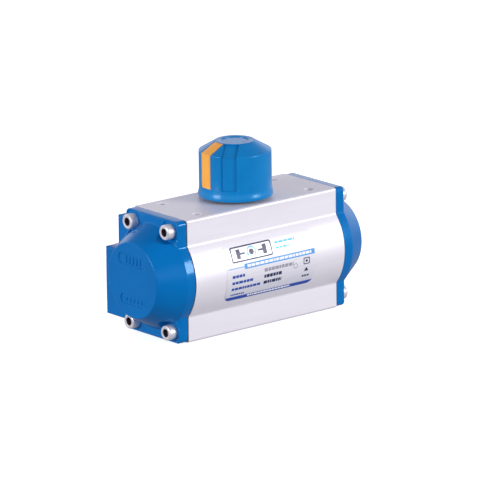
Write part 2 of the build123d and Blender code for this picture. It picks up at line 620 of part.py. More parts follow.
def left_piston_seal():
    """O-ring of the piston head, squeezed by the bore."""
    x0, x1 = -PISTON_FACE + SEAL_GROOVE[0] + 0.1, -PISTON_FACE + SEAL_GROOVE[1] - 0.1
    ring = x_cylinder(SLIDING_RADIUS, x0, x1) - x_cylinder(SEAL_GROOVE_RADIUS, x0, x1)
    return fillet(ring.edges(), 1.1)


def left_piston_band():
    """Split guide band of the piston head."""
    x0, x1 = -PISTON_FACE + BAND_GROOVE[0] + 0.05, -PISTON_FACE + BAND_GROOVE[1] - 0.05
    ring = x_cylinder(SLIDING_RADIUS, x0, x1) - x_cylinder(BAND_GROOVE_RADIUS, x0, x1)
    return ring - box_between((x0 - 1, x1 + 1), (-0.5, 0.5), (0, AXIS_Z))


def left_rack_pad():
    """Sliding pad between the rack's back and the bore."""
    pad = x_cylinder(SLIDING_RADIUS, *PAD_SPAN) - x_cylinder(ARM_BACK_RADIUS, *PAD_SPAN)
    pad &= box_between(PAD_SPAN, (0, BORE_RADIUS), (AXIS_Z - PAD_HALF_HEIGHT, AXIS_Z + PAD_HALF_HEIGHT))
    return pad + pad_peg()


# ---- Assembly -----------------------------------------------------------------------
def build_parts():
    """Every node's name and shape."""
    parts = {
        "body_extrusion": body_extrusion(),
        "lower_shaft_bush": shaft_bush(LOWER_RADIUS, LOWER_BUSH_RADIUS, LOWER_BUSH_Z),
        "upper_shaft_bush": shaft_bush(UPPER_RADIUS, UPPER_BUSH_RADIUS, UPPER_BUSH_Z),
        "data_label": data_label(),
        "drive_pinion": drive_pinion(),
        "stop_cam": stop_cam(),
        "lower_shaft_seal": shaft_seal(LOWER_RADIUS, LOWER_SEAL_Z),
        "upper_shaft_seal": shaft_seal(UPPER_RADIUS, UPPER_SEAL_Z),
        "thrust_washer": washer(11.0, UPPER_RADIUS + 0.1, (BODY_HEIGHT, BODY_HEIGHT + 1.5)),
        "steel_washer": washer(10.5, UPPER_RADIUS + 0.1, (BODY_HEIGHT + 1.5, BODY_HEIGHT + 2.3)),
        "cam_spacer": washer(9.0, UPPER_RADIUS + 0.1, (CAM_Z[1], UPPER_BUSH_Z[0] - 0.1)),
        "circlip": circlip(),
        "position_indicator": position_indicator(),
        "indicator_stripes": indicator_stripes(),
        "indicator_screw": indicator_screw(),
        "indicator_cover": indicator_cover(),
    }
    for name, side in (("left", -1), ("right", 1)):
        parts[f"{name}_end_cap"] = end_cap(side)
        parts[f"{name}_cap_gasket"] = cap_gasket(side)
        parts[f"{name}_cap_screws"] = cap_screws(side)
    for name, piece in (("screws", stop_screw), ("nuts", stop_nut), ("seals", stop_seal)):
        parts[f"stop_{name}"] = Compound(children=[piece(side * STOP_X) for side in SIDES])
    for name, angle in (("left", 0), ("right", 180)):
        parts[f"{name}_piston"] = turned_by(angle, left_piston())
        parts[f"{name}_piston_seal"] = turned_by(angle, left_piston_seal())
        parts[f"{name}_piston_band"] = turned_by(angle, left_piston_band())
        parts[f"{name}_rack_pad"] = turned_by(angle, left_rack_pad())
    return parts


os.makedirs("parts", exist_ok=True)
for node, shape in build_parts().items():
    export_step(shape, f"parts/{node}.step")
print("stroke", round(STROKE, 3), "coupling", PITCH_RADIUS / 1000)
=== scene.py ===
import json
import math
import random

import bpy
from mathutils import Matrix, Vector
from mathutils.geometry import delaunay_2d_cdt


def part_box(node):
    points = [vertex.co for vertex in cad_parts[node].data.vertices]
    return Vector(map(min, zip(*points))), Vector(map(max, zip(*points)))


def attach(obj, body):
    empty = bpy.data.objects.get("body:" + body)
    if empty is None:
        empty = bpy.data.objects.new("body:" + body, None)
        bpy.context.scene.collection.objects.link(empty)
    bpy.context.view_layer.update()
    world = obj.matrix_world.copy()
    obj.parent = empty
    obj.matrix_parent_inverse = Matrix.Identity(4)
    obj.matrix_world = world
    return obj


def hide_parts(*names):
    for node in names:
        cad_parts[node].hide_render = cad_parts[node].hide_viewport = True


# A double-acting quarter-turn air actuator. The extrusion, the gaskets and the hidden
# pieces are the CAD model's own. The other pieces that show are rebuilt here with their
# edge rounding and surface detail. Sizes are in millimetres until a mesh is made.

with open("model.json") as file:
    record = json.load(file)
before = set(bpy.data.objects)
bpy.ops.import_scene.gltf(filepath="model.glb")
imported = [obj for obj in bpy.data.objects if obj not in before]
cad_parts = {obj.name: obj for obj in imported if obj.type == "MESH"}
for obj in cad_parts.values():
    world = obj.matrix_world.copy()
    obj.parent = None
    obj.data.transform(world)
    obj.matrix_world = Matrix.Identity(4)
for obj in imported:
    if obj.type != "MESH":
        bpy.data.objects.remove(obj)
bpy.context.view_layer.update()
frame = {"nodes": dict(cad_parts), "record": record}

MM = 0.001
SIDES = (-1, 1)


def frame_box(node):
    """Lowest and highest corner of a CAD node, in millimetres."""
    low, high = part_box(node)
    return low / MM, high / MM


# ---- Sizes taken from the frame ----
body_low, body_high = frame_box("body_extrusion")
cap_low, cap_high = frame_box("right_end_cap")
knob_low, knob_high = frame_box("position_indicator")
label_low, label_high = frame_box("data_label")

BODY_HEIGHT = body_high.z
AXIS_Z = BODY_HEIGHT / 2
BARREL_RADIUS = -body_low.y
PAD_FACE_Y = body_high.y
CAP_INNER, CAP_END = cap_low.x, cap_high.x
KNOB_BOTTOM, KNOB_TOP = knob_low.z, knob_high.z
KNOB_RIM_RADIUS = knob_high.x

# ---- Sizes shared with the CAD source ----
LUG_HALF_WIDTH = 22.8
REAR_FLAT_Y, REAR_FLAT_TOP = 30.0, 64.0
PAD_BOTTOM, PAD_TOP = 4.7, 43.9
CAP_INSET, CAP_PLATE = 0.3, 6.0
CAP_FACE = CAP_INNER + CAP_PLATE
BOSS_BASE_RADIUS, BOSS_END_RADIUS = 29.6, 21.2
CAP_WALL, CAP_LUG_CORNER = 3.2, 2.4
CAP_SCREW_Y, CAP_SCREW_Z = 16.0, 28.2
SPOTFACE_RADIUS, SPOTFACE_FLOOR = 6.6, CAP_FACE - 0.6
SCREW_HOLE_RADIUS = 2.75
REST_ANGLE = -5.0
STRIPE_ANGLES = (180.0, 0.0)
SPARE_ANGLES = (225.0, 45.0)
STRIPE_WIDTH, STRIPE_TOP_WIDTH, STRIPE_DEPTH = 8.6, 8.0, 0.8
STRIPE_BOTTOM = BODY_HEIGHT + 7.5
KNOB_RADIUS, KNOB_TOP_RADIUS, KNOB_HOLE_RADIUS = 20.1, 10.9, 7.3
KNOB_SHOULDER = BODY_HEIGHT + 26.8
KNOB_RIM, KNOB_WALL, KNOB_BORE = 2.0, 2.3, 3.3
KNOB_HUB_RADIUS, KNOB_HUB_BOTTOM = 10.2, BODY_HEIGHT + 5.6
SHAFT_TOP, SHAFT_RADIUS = BODY_HEIGHT + 20.0, 7.0
COVER_RADIUS, COVER_WALL, COVER_SUNK = 7.25, 1.2, 0.4
KNOB_FLOOR = SHAFT_TOP + 2.2
STOP_X, STOP_Z = 13.0, 50.5
LABEL_RADIUS = BARREL_RADIUS + 0.2


# ---- Mesh helpers ----
def mesh_piece(name, verts, faces, materials, sharp=38.0, indices=None):
    """Object from millimetre vertices, smooth except across edges sharper than an angle."""
    mesh = bpy.data.meshes.new(name)
    mesh.from_pydata([(x * MM, y * MM, z * MM) for x, y, z in verts], [], faces)
    for item in materials:
        mesh.materials.append(item)
    if indices:
        mesh.polygons.foreach_set("material_index", indices)
    mesh.validate()
    mesh.shade_smooth()
    mesh.set_sharp_from_angle(angle=math.radians(sharp))
    piece = bpy.data.objects.new(name, mesh)
    bpy.context.scene.collection.objects.link(piece)
    return piece


def add_piece(name, shape, materials, sharp, body, node, indices=None):
    """Piece of a (verts, faces) shape that rides on a body, has a slot and stands for a CAD node."""
    piece = mesh_piece(name, *shape, materials, sharp, indices)
    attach(piece, body)
    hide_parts(node)


def arc(centre, radius, start, end, steps):
    """Points on an arc, both ends included; angles in degrees."""
    turn = math.radians(end - start) / steps
    first = math.radians(start)
    return [
        (centre[0] + radius * math.cos(first + turn * i), centre[1] + radius * math.sin(first + turn * i))
        for i in range(steps + 1)
    ]


def around(radius, angle, z):
    """Point at a radius and an angle in radians round the Z axis."""
    return (radius * math.cos(angle), radius * math.sin(angle), z)


def circle(centre, radius, steps):
    """Points round a whole circle, anticlockwise."""
    return arc(centre, radius, 0, 360, steps)[:-1]


def round_corner(before, corner, after, radius, steps=6):
    """Points that round a right-angled corner."""
    u = (Vector(before) - Vector(corner)).normalized()
    v = (Vector(after) - Vector(corner)).normalized()
    centre = Vector(corner) + (u + v) * radius
    points = []
    for i in range(steps + 1):
        angle = math.pi / 2 * i / steps
        points.append(tuple(centre - v * radius * math.cos(angle) - u * radius * math.sin(angle)))
    return points


def bridge(faces, lower, upper, closed=True):
    """Quads between two rows of vertex indices."""
    count = len(lower)
    for i in range(count if closed else count - 1):
        j = (i + 1) % count
        faces.append((lower[i], lower[j], upper[j], upper[i]))


def grid_faces(rows, columns, wrap):
    """Quads of a grid of vertices stored row by row; wrap closes each row."""
    faces = []
    for row in range(rows - 1):
        low = range(row * columns, (row + 1) * columns)
        bridge(faces, low, [i + columns for i in low], closed=wrap)
    return faces


def smooth_step(value, low, high):
    """0 below low, 1 above high, and an S curve between."""
    t = min(max((value - low) / (high - low), 0.0), 1.0)
    return t * t * (3 - 2 * t)


def smooth_max(a, b, radius):
    """Larger of two heights, with their crossing rounded."""
    blend = max(radius - abs(a - b), 0.0) / radius
    return max(a, b) + blend * blend * radius / 4


def fillet_drop(distance, radius):
    """Drop of a rounded edge at a distance inside it."""
    inside = radius - min(max(distance, 0.0), radius)
    return radius - math.sqrt(max(radius * radius - inside * inside, 0.0))


# ---- Section shared by body, gaskets and caps ----
def outline(inset, lug_corner):
    """Outline across the length as (y, z) points, anticlockwise seen from +X."""
    half = LUG_HALF_WIDTH - inset
    flat_y, flat_top = REAR_FLAT_Y - inset, REAR_FLAT_TOP - inset
    pad_y, pad_low, pad_high = PAD_FACE_Y - inset, PAD_BOTTOM + inset, PAD_TOP - inset
    corners = [
        ((-half, inset), lug_corner - inset),
        ((half, inset), lug_corner - inset),
        ((half, pad_low), 1.2 + inset),
        ((pad_y, pad_low), 1.0 - inset * 0.5),
        ((pad_y, pad_high), 1.0 - inset * 0.5),
        ((flat_y, pad_high), 1.2 + inset),
        ((flat_y, flat_top), 1.0 - inset * 0.5),
        ((half, flat_top), 1.2 + inset),
        ((half, BODY_HEIGHT - inset), lug_corner - inset),
        ((-half, BODY_HEIGHT - inset), lug_corner - inset),
    ]
    points = []
    for i, (corner, radius) in enumerate(corners):
        before = corners[i - 1][0]
        after = corners[(i + 1) % len(corners)][0]
        points += round_corner(before, corner, after, max(radius, 0.3))
    # The front: down the lug, round its inner fillet, round the barrel, and back.
    radius = BARREL_RADIUS - inset
    fillet = 2.0 + inset
    reach = math.sqrt((radius + fillet) ** 2 - (half + fillet) ** 2)
    lean = math.degrees(math.atan2(reach, half + fillet))
    upper = arc((-half - fillet, AXIS_Z + reach), fillet, 0, -lean, 6)
    barrel = arc((0, AXIS_Z), radius, 180 - lean, 180 + lean, 48)
    lower = arc((-half - fillet, AXIS_Z - reach), fillet, lean, 0, 6)
    return points + upper + barrel[1:-1] + lower


def spread(points, spacing):
    """The closed outline with long stretches divided."""
    result = []
    for i, (y, z) in enumerate(points):
        ny, nz = points[(i + 1) % len(points)]
        pieces = max(1, round(math.hypot(ny - y, nz - z) / spacing))
        result += [(y + (ny - y) * k / pieces, z + (nz - z) * k / pieces) for k in range(pieces)]
    return result


def inside(point, polygon):
    """Whether a point lies in a polygon."""
    y, z = point
    hit = False
    for i in range(len(polygon)):
        (y0, z0), (y1, z1) = polygon[i - 1], polygon[i]
        if (z0 > z) != (z1 > z) and y < (y1 - y0) * (z - z0) / (z1 - z0) + y0:
            hit = not hit
    return hit


def triangulate(loops, extra, keep):
    """Triangles over closed loops of points and loose points, where keep(centre) holds.

    Returns the points, the triangles, and each loop's indices among the points.
    """
    points, edges, spans = [], [], []
    for loop in loops:
        start = len(points)
        points += loop
        edges += [(start + i, start + (i + 1) % len(loop)) for i in range(len(loop))]
        spans.append(range(start, start + len(loop)))
    points += extra
    result = delaunay_2d_cdt([Vector(p) for p in points], edges, [], 0, 1e-5)
    verts = [tuple(v) for v in result[0]]
    faces = []
    for face in result[2]:
        centre = [sum(verts[i][axis] for i in face) / len(face) for axis in (0, 1)]
        if keep(centre):
            faces.append(tuple(face))
    found = {given: i for i, sources in enumerate(result[3]) for given in sources}
    return verts, faces, [[found[i] for i in span] for span in spans]


# ---- End caps ----
EDGE_ROUND = 0.9
BOSS_ROUND, BOSS_FILLET = 0.8, 0.7
POCKET_WALL, POCKET_FLOOR_ROUND, POCKET_EDGE_ROUND = 0.12, 0.3, 0.35
BADGE_DEPTH, BAR_HEIGHT = 0.6, 0.5
BADGE_ROUND, BADGE_GRID = 0.5, 0.2
UPPER_BADGE_Z, LOWER_BADGE_Z = AXIS_Z + 11.0, AXIS_Z - 11.5
# Height of the middle, panel length, height and corner, and the bars' pitch, length and height.
BADGES = (
    (UPPER_BADGE_Z, 24.0, 6.6, 3.2, 3.0, 1.7, 4.2),
    (LOWER_BADGE_Z, 21.0, 5.6, 2.2, 3.2, 2.2, 2.2),
)
# Rings of mesh points round a screw's place and round the boss, closer where the surface bends.
POCKET_RINGS = (2.9, 4.4, 5.6, 6.2, 6.3, 6.38, 6.44, 6.48, 6.6, 6.66, 6.74, 6.84, 6.95, 7.3)
BOSS_RINGS = [BOSS_END_RADIUS + 0.12 * i for i in range(-7, 8)]
BOSS_RINGS += [19.6, 23.0, 24.2, 25.4, 26.6, 27.6]
BOSS_RINGS += [28.2 + 0.3 * i for i in range(9)]
PLAIN_GRID = 1.9
HOLE_STEPS, MOUTH_STEPS = 48, 96


def cap_screw_places():
    """(y, z) of the four screws of an end cap."""
    return [(sy * CAP_SCREW_Y, AXIS_Z + sz * CAP_SCREW_Z) for sy in SIDES for sz in SIDES]


def rounded_bar(y, z, centre, length, height, radius):
    """Distance outside a rounded rectangle, negative inside."""
    qy = abs(y - centre[0]) - length / 2 + radius
    qz = abs(z - centre[1]) - height / 2 + radius
    outside = math.hypot(max(qy, 0.0), max(qz, 0.0))
    return outside + min(max(qy, qz), 0.0) - radius


def badge_height(y, z):
    """Relief of the two cast badges on the end face: sunk panels with raised blank bars."""
    relief = 0.0
    for centre, length, height, corner, pitch, bar_length, bar_height in BADGES:
        if abs(z - centre) > height:
            continue
        panel = rounded_bar(y, z, (0, centre), length, height, corner)
        relief -= BADGE_DEPTH * (1 - smooth_step(panel, -0.25, 0.05))
        bars = min(
            rounded_bar(y, z, (pitch * i, centre), bar_length, bar_height, BADGE_ROUND)
            for i in range(-2, 3)
        )
        relief += BAR_HEIGHT * (1 - smooth_step(bars, -0.1, 0.2))
    return relief


def cap_height(y, z, edge_distance):
    """How far out the cap's outer surface stands at (y, z)."""
    radius = math.hypot(y, z - AXIS_Z)
    slope = (CAP_END - CAP_FACE) / (BOSS_BASE_RADIUS - BOSS_END_RADIUS)
    cone = CAP_FACE + (BOSS_BASE_RADIUS - radius) * slope
    boss = -smooth_max(-cone, -CAP_END, BOSS_ROUND)
    height = smooth_max(CAP_FACE, boss, BOSS_FILLET) if radius < BOSS_BASE_RADIUS + 2 else CAP_FACE
    if radius < BOSS_END_RADIUS:
        height += badge_height(y, z)
    height -= fillet_drop(edge_distance, EDGE_ROUND)
    for sy, sz in cap_screw_places():
        away = math.hypot(y - sy, z - sz)
        if away < SPOTFACE_RADIUS - POCKET_WALL / 2:
            rise = fillet_drop(SPOTFACE_RADIUS - POCKET_WALL - away, POCKET_FLOOR_ROUND)
            height = min(height, SPOTFACE_FLOOR + rise)
        elif height > SPOTFACE_FLOOR:
            drop = fillet_drop(away - SPOTFACE_RADIUS, POCKET_EDGE_ROUND)
            height = max(height - drop, SPOTFACE_FLOOR)
    return height


def cap_points(edge):
    """Loose points that carry the boss, the spotfaces, the badges and the flat plate."""
    places = cap_screw_places()

    def free(p, pad):
        return all(math.hypot(p[0] - q[0], p[1] - q[1]) > pad for q in places)

    pockets = sum((circle(spot, radius, 96) for spot in places for radius in POCKET_RINGS), [])
    pockets = [p for p in pockets if free(p, SCREW_HOLE_RADIUS + 0.1)]
    rings = sum((circle((0, AXIS_Z), radius, 200) for radius in BOSS_RINGS), [])
    rings = [p for p in rings if free(p, 7.5)]
    badges = [
        (-12.6 + BADGE_GRID * i, centre + BADGE_GRID * (j - rows / 2 + 0.5))
        for centre, rows in ((UPPER_BADGE_Z, 40), (LOWER_BADGE_Z, 35))
        for i in range(127)
        for j in range(rows)
    ]
    badges = [p for p in badges if math.hypot(p[0], p[1] - AXIS_Z) < 19.0]
    plain = [(-28 + PLAIN_GRID * i, 1.7 + PLAIN_GRID * j) for i in range(37) for j in range(36)]
    plain = [
        p for p in plain
        if free(p, 8.0)
        and not 18.6 < math.hypot(p[0], p[1] - AXIS_Z) < 31.3
        and not (abs(p[0]) < 13.2 and min(abs(p[1] - UPPER_BADGE_Z), abs(p[1] - LOWER_BADGE_Z)) < 4.4)
    ]
    return [p for p in pockets + rings + badges + plain if inside(p, edge)]


def distance_to(loop, point):
    """Distance from a point to a closed outline."""
    best = 1e9
    py, pz = point
    for i in range(len(loop)):
        (y0, z0), (y1, z1) = loop[i - 1], loop[i]
        if min(abs(py - y0), abs(py - y1)) > 12 and min(abs(pz - z0), abs(pz - z1)) > 12:
            continue
        dy, dz = y1 - y0, z1 - z0
        span = dy * dy + dz * dz or 1e-9
        t = min(max(((py - y0) * dy + (pz - z0) * dz) / span, 0.0), 1.0)
        best = min(best, math.hypot(py - y0 - t * dy, pz - z0 - t * dz))
    return best


def cap_piece(side, material):
    """One end cap as a closed casting: outer skin, side wall, inner face, hollow and holes."""
    places = cap_screw_places()
    corner = CAP_LUG_CORNER + CAP_INSET
    insets = [EDGE_ROUND * (1 - math.cos(math.radians(angle))) for angle in (0, 25, 45, 62, 78, 90)]
    loops = [spread(outline(CAP_INSET + inset, corner), 2.0) for inset in insets]
    edge = loops[0]
    inner = outline(CAP_INSET + EDGE_ROUND + 0.2, corner)
    holes = [circle(spot, SCREW_HOLE_RADIUS, HOLE_STEPS) for spot in places]

    def solid(centre):
        clear = all(math.hypot(centre[0] - y, centre[1] - z) > SCREW_HOLE_RADIUS for y, z in places)
        return clear and inside(centre, edge)

    flat, faces, rims = triangulate(loops[:1] + holes, sum(loops[1:], []) + cap_points(inner), solid)
    coarse_edge = outline(CAP_INSET, corner)
    verts = [(cap_height(y, z, distance_to(coarse_edge, (y, z))), y, z) for y, z in flat]

    # The wall down to the joint, the joint face, the hollow, and the screw holes.
    hollow_end, hollow_radius = CAP_END - CAP_WALL, BOSS_END_RADIUS - CAP_WALL
    mouth = BOSS_END_RADIUS + 1.0
    mouth_ring = circle((0, AXIS_Z), mouth, MOUTH_STEPS)

    def annulus(centre):
        return solid(centre) and math.hypot(centre[0], centre[1] - AXIS_Z) > mouth

    back, back_faces, back_rims = triangulate([edge] + holes + [mouth_ring], [], annulus)
    start = len(verts)
    verts += [(CAP_INNER, y, z) for y, z in back]
    faces += [tuple(start + i for i in reversed(face)) for face in back_faces]
    back_rims = [[start + i for i in rim] for rim in back_rims]
    bridge(faces, back_rims[0], rims[0])
    for rim, back_rim in zip(rims[1:], back_rims[1:-1]):
        bridge(faces, rim, back_rim)
    lower = back_rims[-1]
    for radius, x in ((hollow_radius + 1.2, hollow_end - 0.6), (hollow_radius, hollow_end)):
        upper = range(len(verts), len(verts) + MOUTH_STEPS)
        verts += [(x, y, z) for y, z in circle((0, AXIS_Z), radius, MOUTH_STEPS)]
        bridge(faces, upper, lower)
        lower = upper
    faces.append(tuple(lower))
    if side < 0:
        verts = [(-x, y, z) for x, y, z in verts]
    else:
        faces = [tuple(reversed(face)) for face in faces]
    name = "left" if side < 0 else "right"
    shape = (verts, faces)
    add_piece(f"{name}_cap_casting", shape, [material], 42, "housing", f"{name}_end_cap")


# ---- Screws ----
# Thread radius and length, head radius and height, width across the socket, and pitch.
M5_SCREW = (2.45, 15.8, 4.25, 5.0, 4.0, 0.8)
M6_SCREW = (2.95, 12.0, 5.0, 6.0, 5.0, 1.0)
ROUND_STEPS, HEXAGON_STEPS = 120, 96
SOCKET_ROWS = 4
STOP_HEXAGON, STOP_NUT_HEIGHT, STOP_HEAD_HEIGHT = 10.0, 5.0, 4.0


def hexagon_radius(angle, across):
    """Distance from a hexagon's centre to its side at an angle in radians."""
    sector = math.radians(60)
    return across / 2 / math.cos((angle + sector / 2) % sector - sector / 2)


def lathe(rows, segments, tube=False):
    """Closed surface round Z from rows of (radius or radius function, z).

    Its two ends are capped, or joined to each other in a tube.
    """
    verts = []
    for radius, z in rows:
        for i in range(segments):
            angle = 2 * math.pi * i / segments
            r = radius(angle) if callable(radius) else radius
            verts.append(around(r, angle, z))
    faces = grid_faces(len(rows), segments, True)
    first, last = range(segments), range((len(rows) - 1) * segments, len(rows) * segments)
    if tube:
        bridge(faces, last, first)
    else:
        faces += [tuple(reversed(first)), tuple(last)]
    return verts, faces


def socket(across, inset=0.0):
    """Radius function of a hexagon socket."""
    return lambda angle: hexagon_radius(angle, across) - inset


def socket_screw(thread_radius, length, head_radius, head_height, across, pitch):
    """Socket head cap screw along +Z from its seat: verts, faces and 1 for each face of the socket, which
    takes the painted shade.
    """
    depth = head_height * 0.55
    mouth = across / 2 * 1.18
    rows = [
        (thread_radius * 0.78, -length),
        (thread_radius - 0.1, -length + 0.6),
    ]
    turns = int((length - 1.2) / pitch)
    for turn in range(turns):
        z = -length + 0.8 + turn * pitch
        rows += [(thread_radius * 0.86, z), (thread_radius - 0.02, z + pitch * 0.5)]
    rows += [
        (thread_radius * 0.98, -0.2),
        (head_radius - 0.35, 0.0),
        (head_radius - 0.1, 0.12),
        (head_radius - 0.02, 0.35),
        (head_radius, 0.6),
        (head_radius, head_height - 1.0),
        (head_radius - 0.04, head_height - 0.75),
        (head_radius - 0.12, head_height - 0.40),
        (head_radius - 0.32, head_height - 0.14),
        (head_radius - 0.60, head_height - 0.02),
        (head_radius - 0.85, head_height),
        (mouth + 0.25, head_height),
        (mouth, head_height - 0.08),
        (mouth * 0.985, head_height - 0.20),
        (socket(across), head_height - 0.42),
        (socket(across), head_height - depth),
        (socket(across, 0.12), head_height - depth - 0.05),
        (0.35, head_height - depth - 0.9),
    ]
    verts, faces = lathe(rows, ROUND_STEPS)
    tip_face = (len(rows) - 1) * ROUND_STEPS
    first = tip_face - SOCKET_ROWS * ROUND_STEPS
    # Faces inside the hex socket are marked 1, for the dark material that paints the socket's shade.
    indices = [int(i >= first and i != tip_face) for i in range(len(faces))]
    return verts, faces, indices


def moved(verts, matrix):
    """Vertices through a matrix."""
    return [tuple(matrix @ Vector(v)) for v in verts]


def joined(parts):
    """Several (verts, faces) as one."""
    verts, faces = [], []
    for part_verts, part_faces in parts:
        start = len(verts)
        verts += part_verts
        faces += [tuple(start + i for i in face) for face in part_faces]
    return verts, faces


def cap_screw_group(side, materials):
    """The four screws of a cap, each turned its own way."""
    screw, faces, indices = socket_screw(*M5_SCREW)
    parts = []
    for (y, z), turn in zip(cap_screw_places(), (10, 35, 50, 22)):
        spin = Matrix.Rotation(math.radians(turn), 4, "Z")
        lay = Matrix.Rotation(math.radians(90 * side), 4, "Y")
        seat = Matrix.Translation((side * SPOTFACE_FLOOR, y, z))
        parts.append((moved(screw, seat @ lay @ spin), faces))
    name = "left" if side < 0 else "right"
    node, indices = f"{name}_cap_screws", indices * len(parts)
    add_piece(f"{name}_cap_bolts", joined(parts), materials, 50, "housing", node, indices)


def hexagon_prism(across, low, high, bore=0):
    """Hexagon along Z with chamfered corners, bored through unless bore is 0."""
    full = across / 2 / math.cos(math.radians(30))

    def clipped(radius):
        return lambda angle: min(hexagon_radius(angle, across), radius)

    chamfer = [(across / 2 * 0.95, 0.0), (across / 2, 0.06), (full * 0.955, 0.35), (full, 0.62)]
    rows = [(clipped(r), low + dz) for r, dz in chamfer]
    rows += [(clipped(r), high - dz) for r, dz in reversed(chamfer)]
    if bore:
        rows += [(bore + 0.35, high), (bore, high - 0.35), (bore, low + 0.35), (bore + 0.35, low)]
    else:
        rows.append((0.5, high))
    return lathe(rows, HEXAGON_STEPS, tube=bore > 0)


def stop_piece(material):
    """Both travel stop screws, each with its lock nut, along +Y from the rear flat."""
    nut_low = REAR_FLAT_Y + 1.2
    nut = hexagon_prism(STOP_HEXAGON, nut_low, nut_low + STOP_NUT_HEIGHT, 2.95)
    nuts, screws = [], []
    tip, head_low = 3.1, nut_low + 6.0
    rows = [(2.0, tip), (2.5, tip + 0.5)]
    for turn in range(math.ceil(head_low - tip - 2.0)):
        rows += [(2.55, tip + 1.0 + turn), (2.96, tip + 1.5 + turn)]
    rows += [(2.9, head_low - 0.2), (3.4, head_low)]
    shank, shank_faces = lathe(rows, 60)
    head, head_faces = hexagon_prism(STOP_HEXAGON, head_low, head_low + STOP_HEAD_HEIGHT)
    for side in SIDES:
        turn = Matrix.Translation((side * STOP_X, 0, STOP_Z)) @ Matrix.Rotation(math.radians(-90), 4, "X")
        spin = Matrix.Rotation(math.radians(17 * side), 4, "Z")
        screws.append((moved(shank, turn), shank_faces))
        screws.append((moved(head, turn), head_faces))
        nuts.append((moved(nut[0], turn @ spin), nut[1]))
    add_piece("stop_bolts", joined(screws), [material], 32, "housing", "stop_screws")
    add_piece("stop_lock_nuts", joined(nuts), [material], 32, "housing", "stop_nuts")


# ---- Position indicator ----
CONE_SLOPE = (KNOB_TOP - KNOB_SHOULDER) / (KNOB_RADIUS - KNOB_TOP_RADIUS)
SLOT_INNER_RADIUS = 11.1
SLOT_EDGE, SLOT_SIDE = 0.18, 0.10
EDGE_SHARE = 0.12
# Across an inlay: share of the half width, further in from the slot's side, and edge round-off.
INLAY_COLUMNS = (
    (-1.0, 0.07, 0.30), (-1.0, 0.19, 0.06), (-0.6, 0.07, 0.0), (-0.2, 0.07, 0.0),
    (0.2, 0.07, 0.0), (0.6, 0.07, 0.0), (1.0, 0.19, 0.06), (1.0, 0.07, 0.30),
)
INLAY_FLOOR, INLAY_SUNK, INLAY_END_ROUND = 0.98, 0.05, 0.2
NARROW_STEPS, WIDE_STEPS = 8, 60


def cone_z(radius):
    """Height of the indicator's cone at a radius."""
    return KNOB_TOP - (radius - KNOB_TOP_RADIUS) * CONE_SLOPE


def skin_rows():
    """Rows of the outside from the rim of the counterbore down: outer point, slot floor, share."""
    lean = math.atan(CONE_SLOPE)
    inward = (-math.sin(lean) * STRIPE_DEPTH, -math.cos(lean) * STRIPE_DEPTH)
    rows = []
    ends = [(0.0, 0.0), (0.08, EDGE_SHARE), (0.16, 1.0)]
    for offset, share in ends:
        radius = SLOT_INNER_RADIUS - 0.16 + offset
        rows.append((radius, cone_z(radius), inward, share))
    for radius in (12.6, 14.0, 15.4, 16.8, 18.2, 19.2, 19.7):
        rows.append((radius, cone_z(radius), inward, 1.0))
    corner = (-STRIPE_DEPTH, -STRIPE_DEPTH * math.tan((math.pi / 2 - lean) / 2))
    rows.append((KNOB_RADIUS - 0.07, cone_z(KNOB_RADIUS - 0.07) - 0.01, corner, 1.0))
    rows.append((KNOB_RADIUS, cone_z(KNOB_RADIUS) - 0.09, corner, 1.0))
    side = (-STRIPE_DEPTH, 0.0)
    rows.append((KNOB_RADIUS, KNOB_SHOULDER - 0.5, side, 1.0))
    for step in range(1, 10):
        z = KNOB_SHOULDER + (STRIPE_BOTTOM + 0.12 - KNOB_SHOULDER) * step / 9
        rows.append((KNOB_RADIUS, z, side, 1.0))
    rows.append((KNOB_RADIUS, STRIPE_BOTTOM + 0.06, side, EDGE_SHARE))
    rows.append((KNOB_RADIUS, STRIPE_BOTTOM - 0.02, side, 0.0))
    return rows


def slot_half(radius):
    """Half the width of a slot, which narrows up the cone."""
    share = min(max((radius - SLOT_INNER_RADIUS) / (KNOB_RADIUS - SLOT_INNER_RADIUS), 0.0), 1.0)
    return (STRIPE_TOP_WIDTH + (STRIPE_WIDTH - STRIPE_TOP_WIDTH) * share) / 2


def slot_columns():
    """(sideways share of the half width, extra width, depth share) across one slot."""
    sides = [(-1.0, -SLOT_EDGE, 0.0), (-1.0, 0.0, EDGE_SHARE)]
    floor = [(-1.0, SLOT_SIDE, 1.0), (-0.66, 0.0, 1.0), (-0.33, 0.0, 1.0), (0.0, 0.0, 1.0)]
    left = sides + floor
    return left + [(-share, -extra, depth) for share, extra, depth in reversed(left[:-1])]


def knob_ring(radius, z, inward, share, map_radius):
    """One closed row of the indicator: its vertices in order round the axis."""
    centres = sorted((angle + REST_ANGLE) % 360 for angle in STRIPE_ANGLES + SPARE_ANGLES)
    columns = slot_columns()
    half = slot_half(map_radius)
    ring = []
    edges = []
    for centre in centres:
        points = []
        for sideways, extra, depth in columns:
            deep = depth * share
            r, height = radius + inward[0] * deep, z + inward[1] * deep
            reach = map_radius + inward[0] * deep
            angle = math.radians(centre) + math.asin((sideways * half + extra) / reach)
            points.append((r, angle, height))
        edges.append(points)
    for i, points in enumerate(edges):
        ring += points
        start = points[-1][1]
        end = edges[(i + 1) % len(edges)][0][1]
        if end < start:
            end += 2 * math.pi
        wide = (centres[(i + 1) % len(centres)] - centres[i]) % 360
        steps = NARROW_STEPS if wide < 90 else WIDE_STEPS
        ring += [(radius, start + (end - start) * k / steps, z) for k in range(1, steps)]
    return [around(*point) for point in ring]


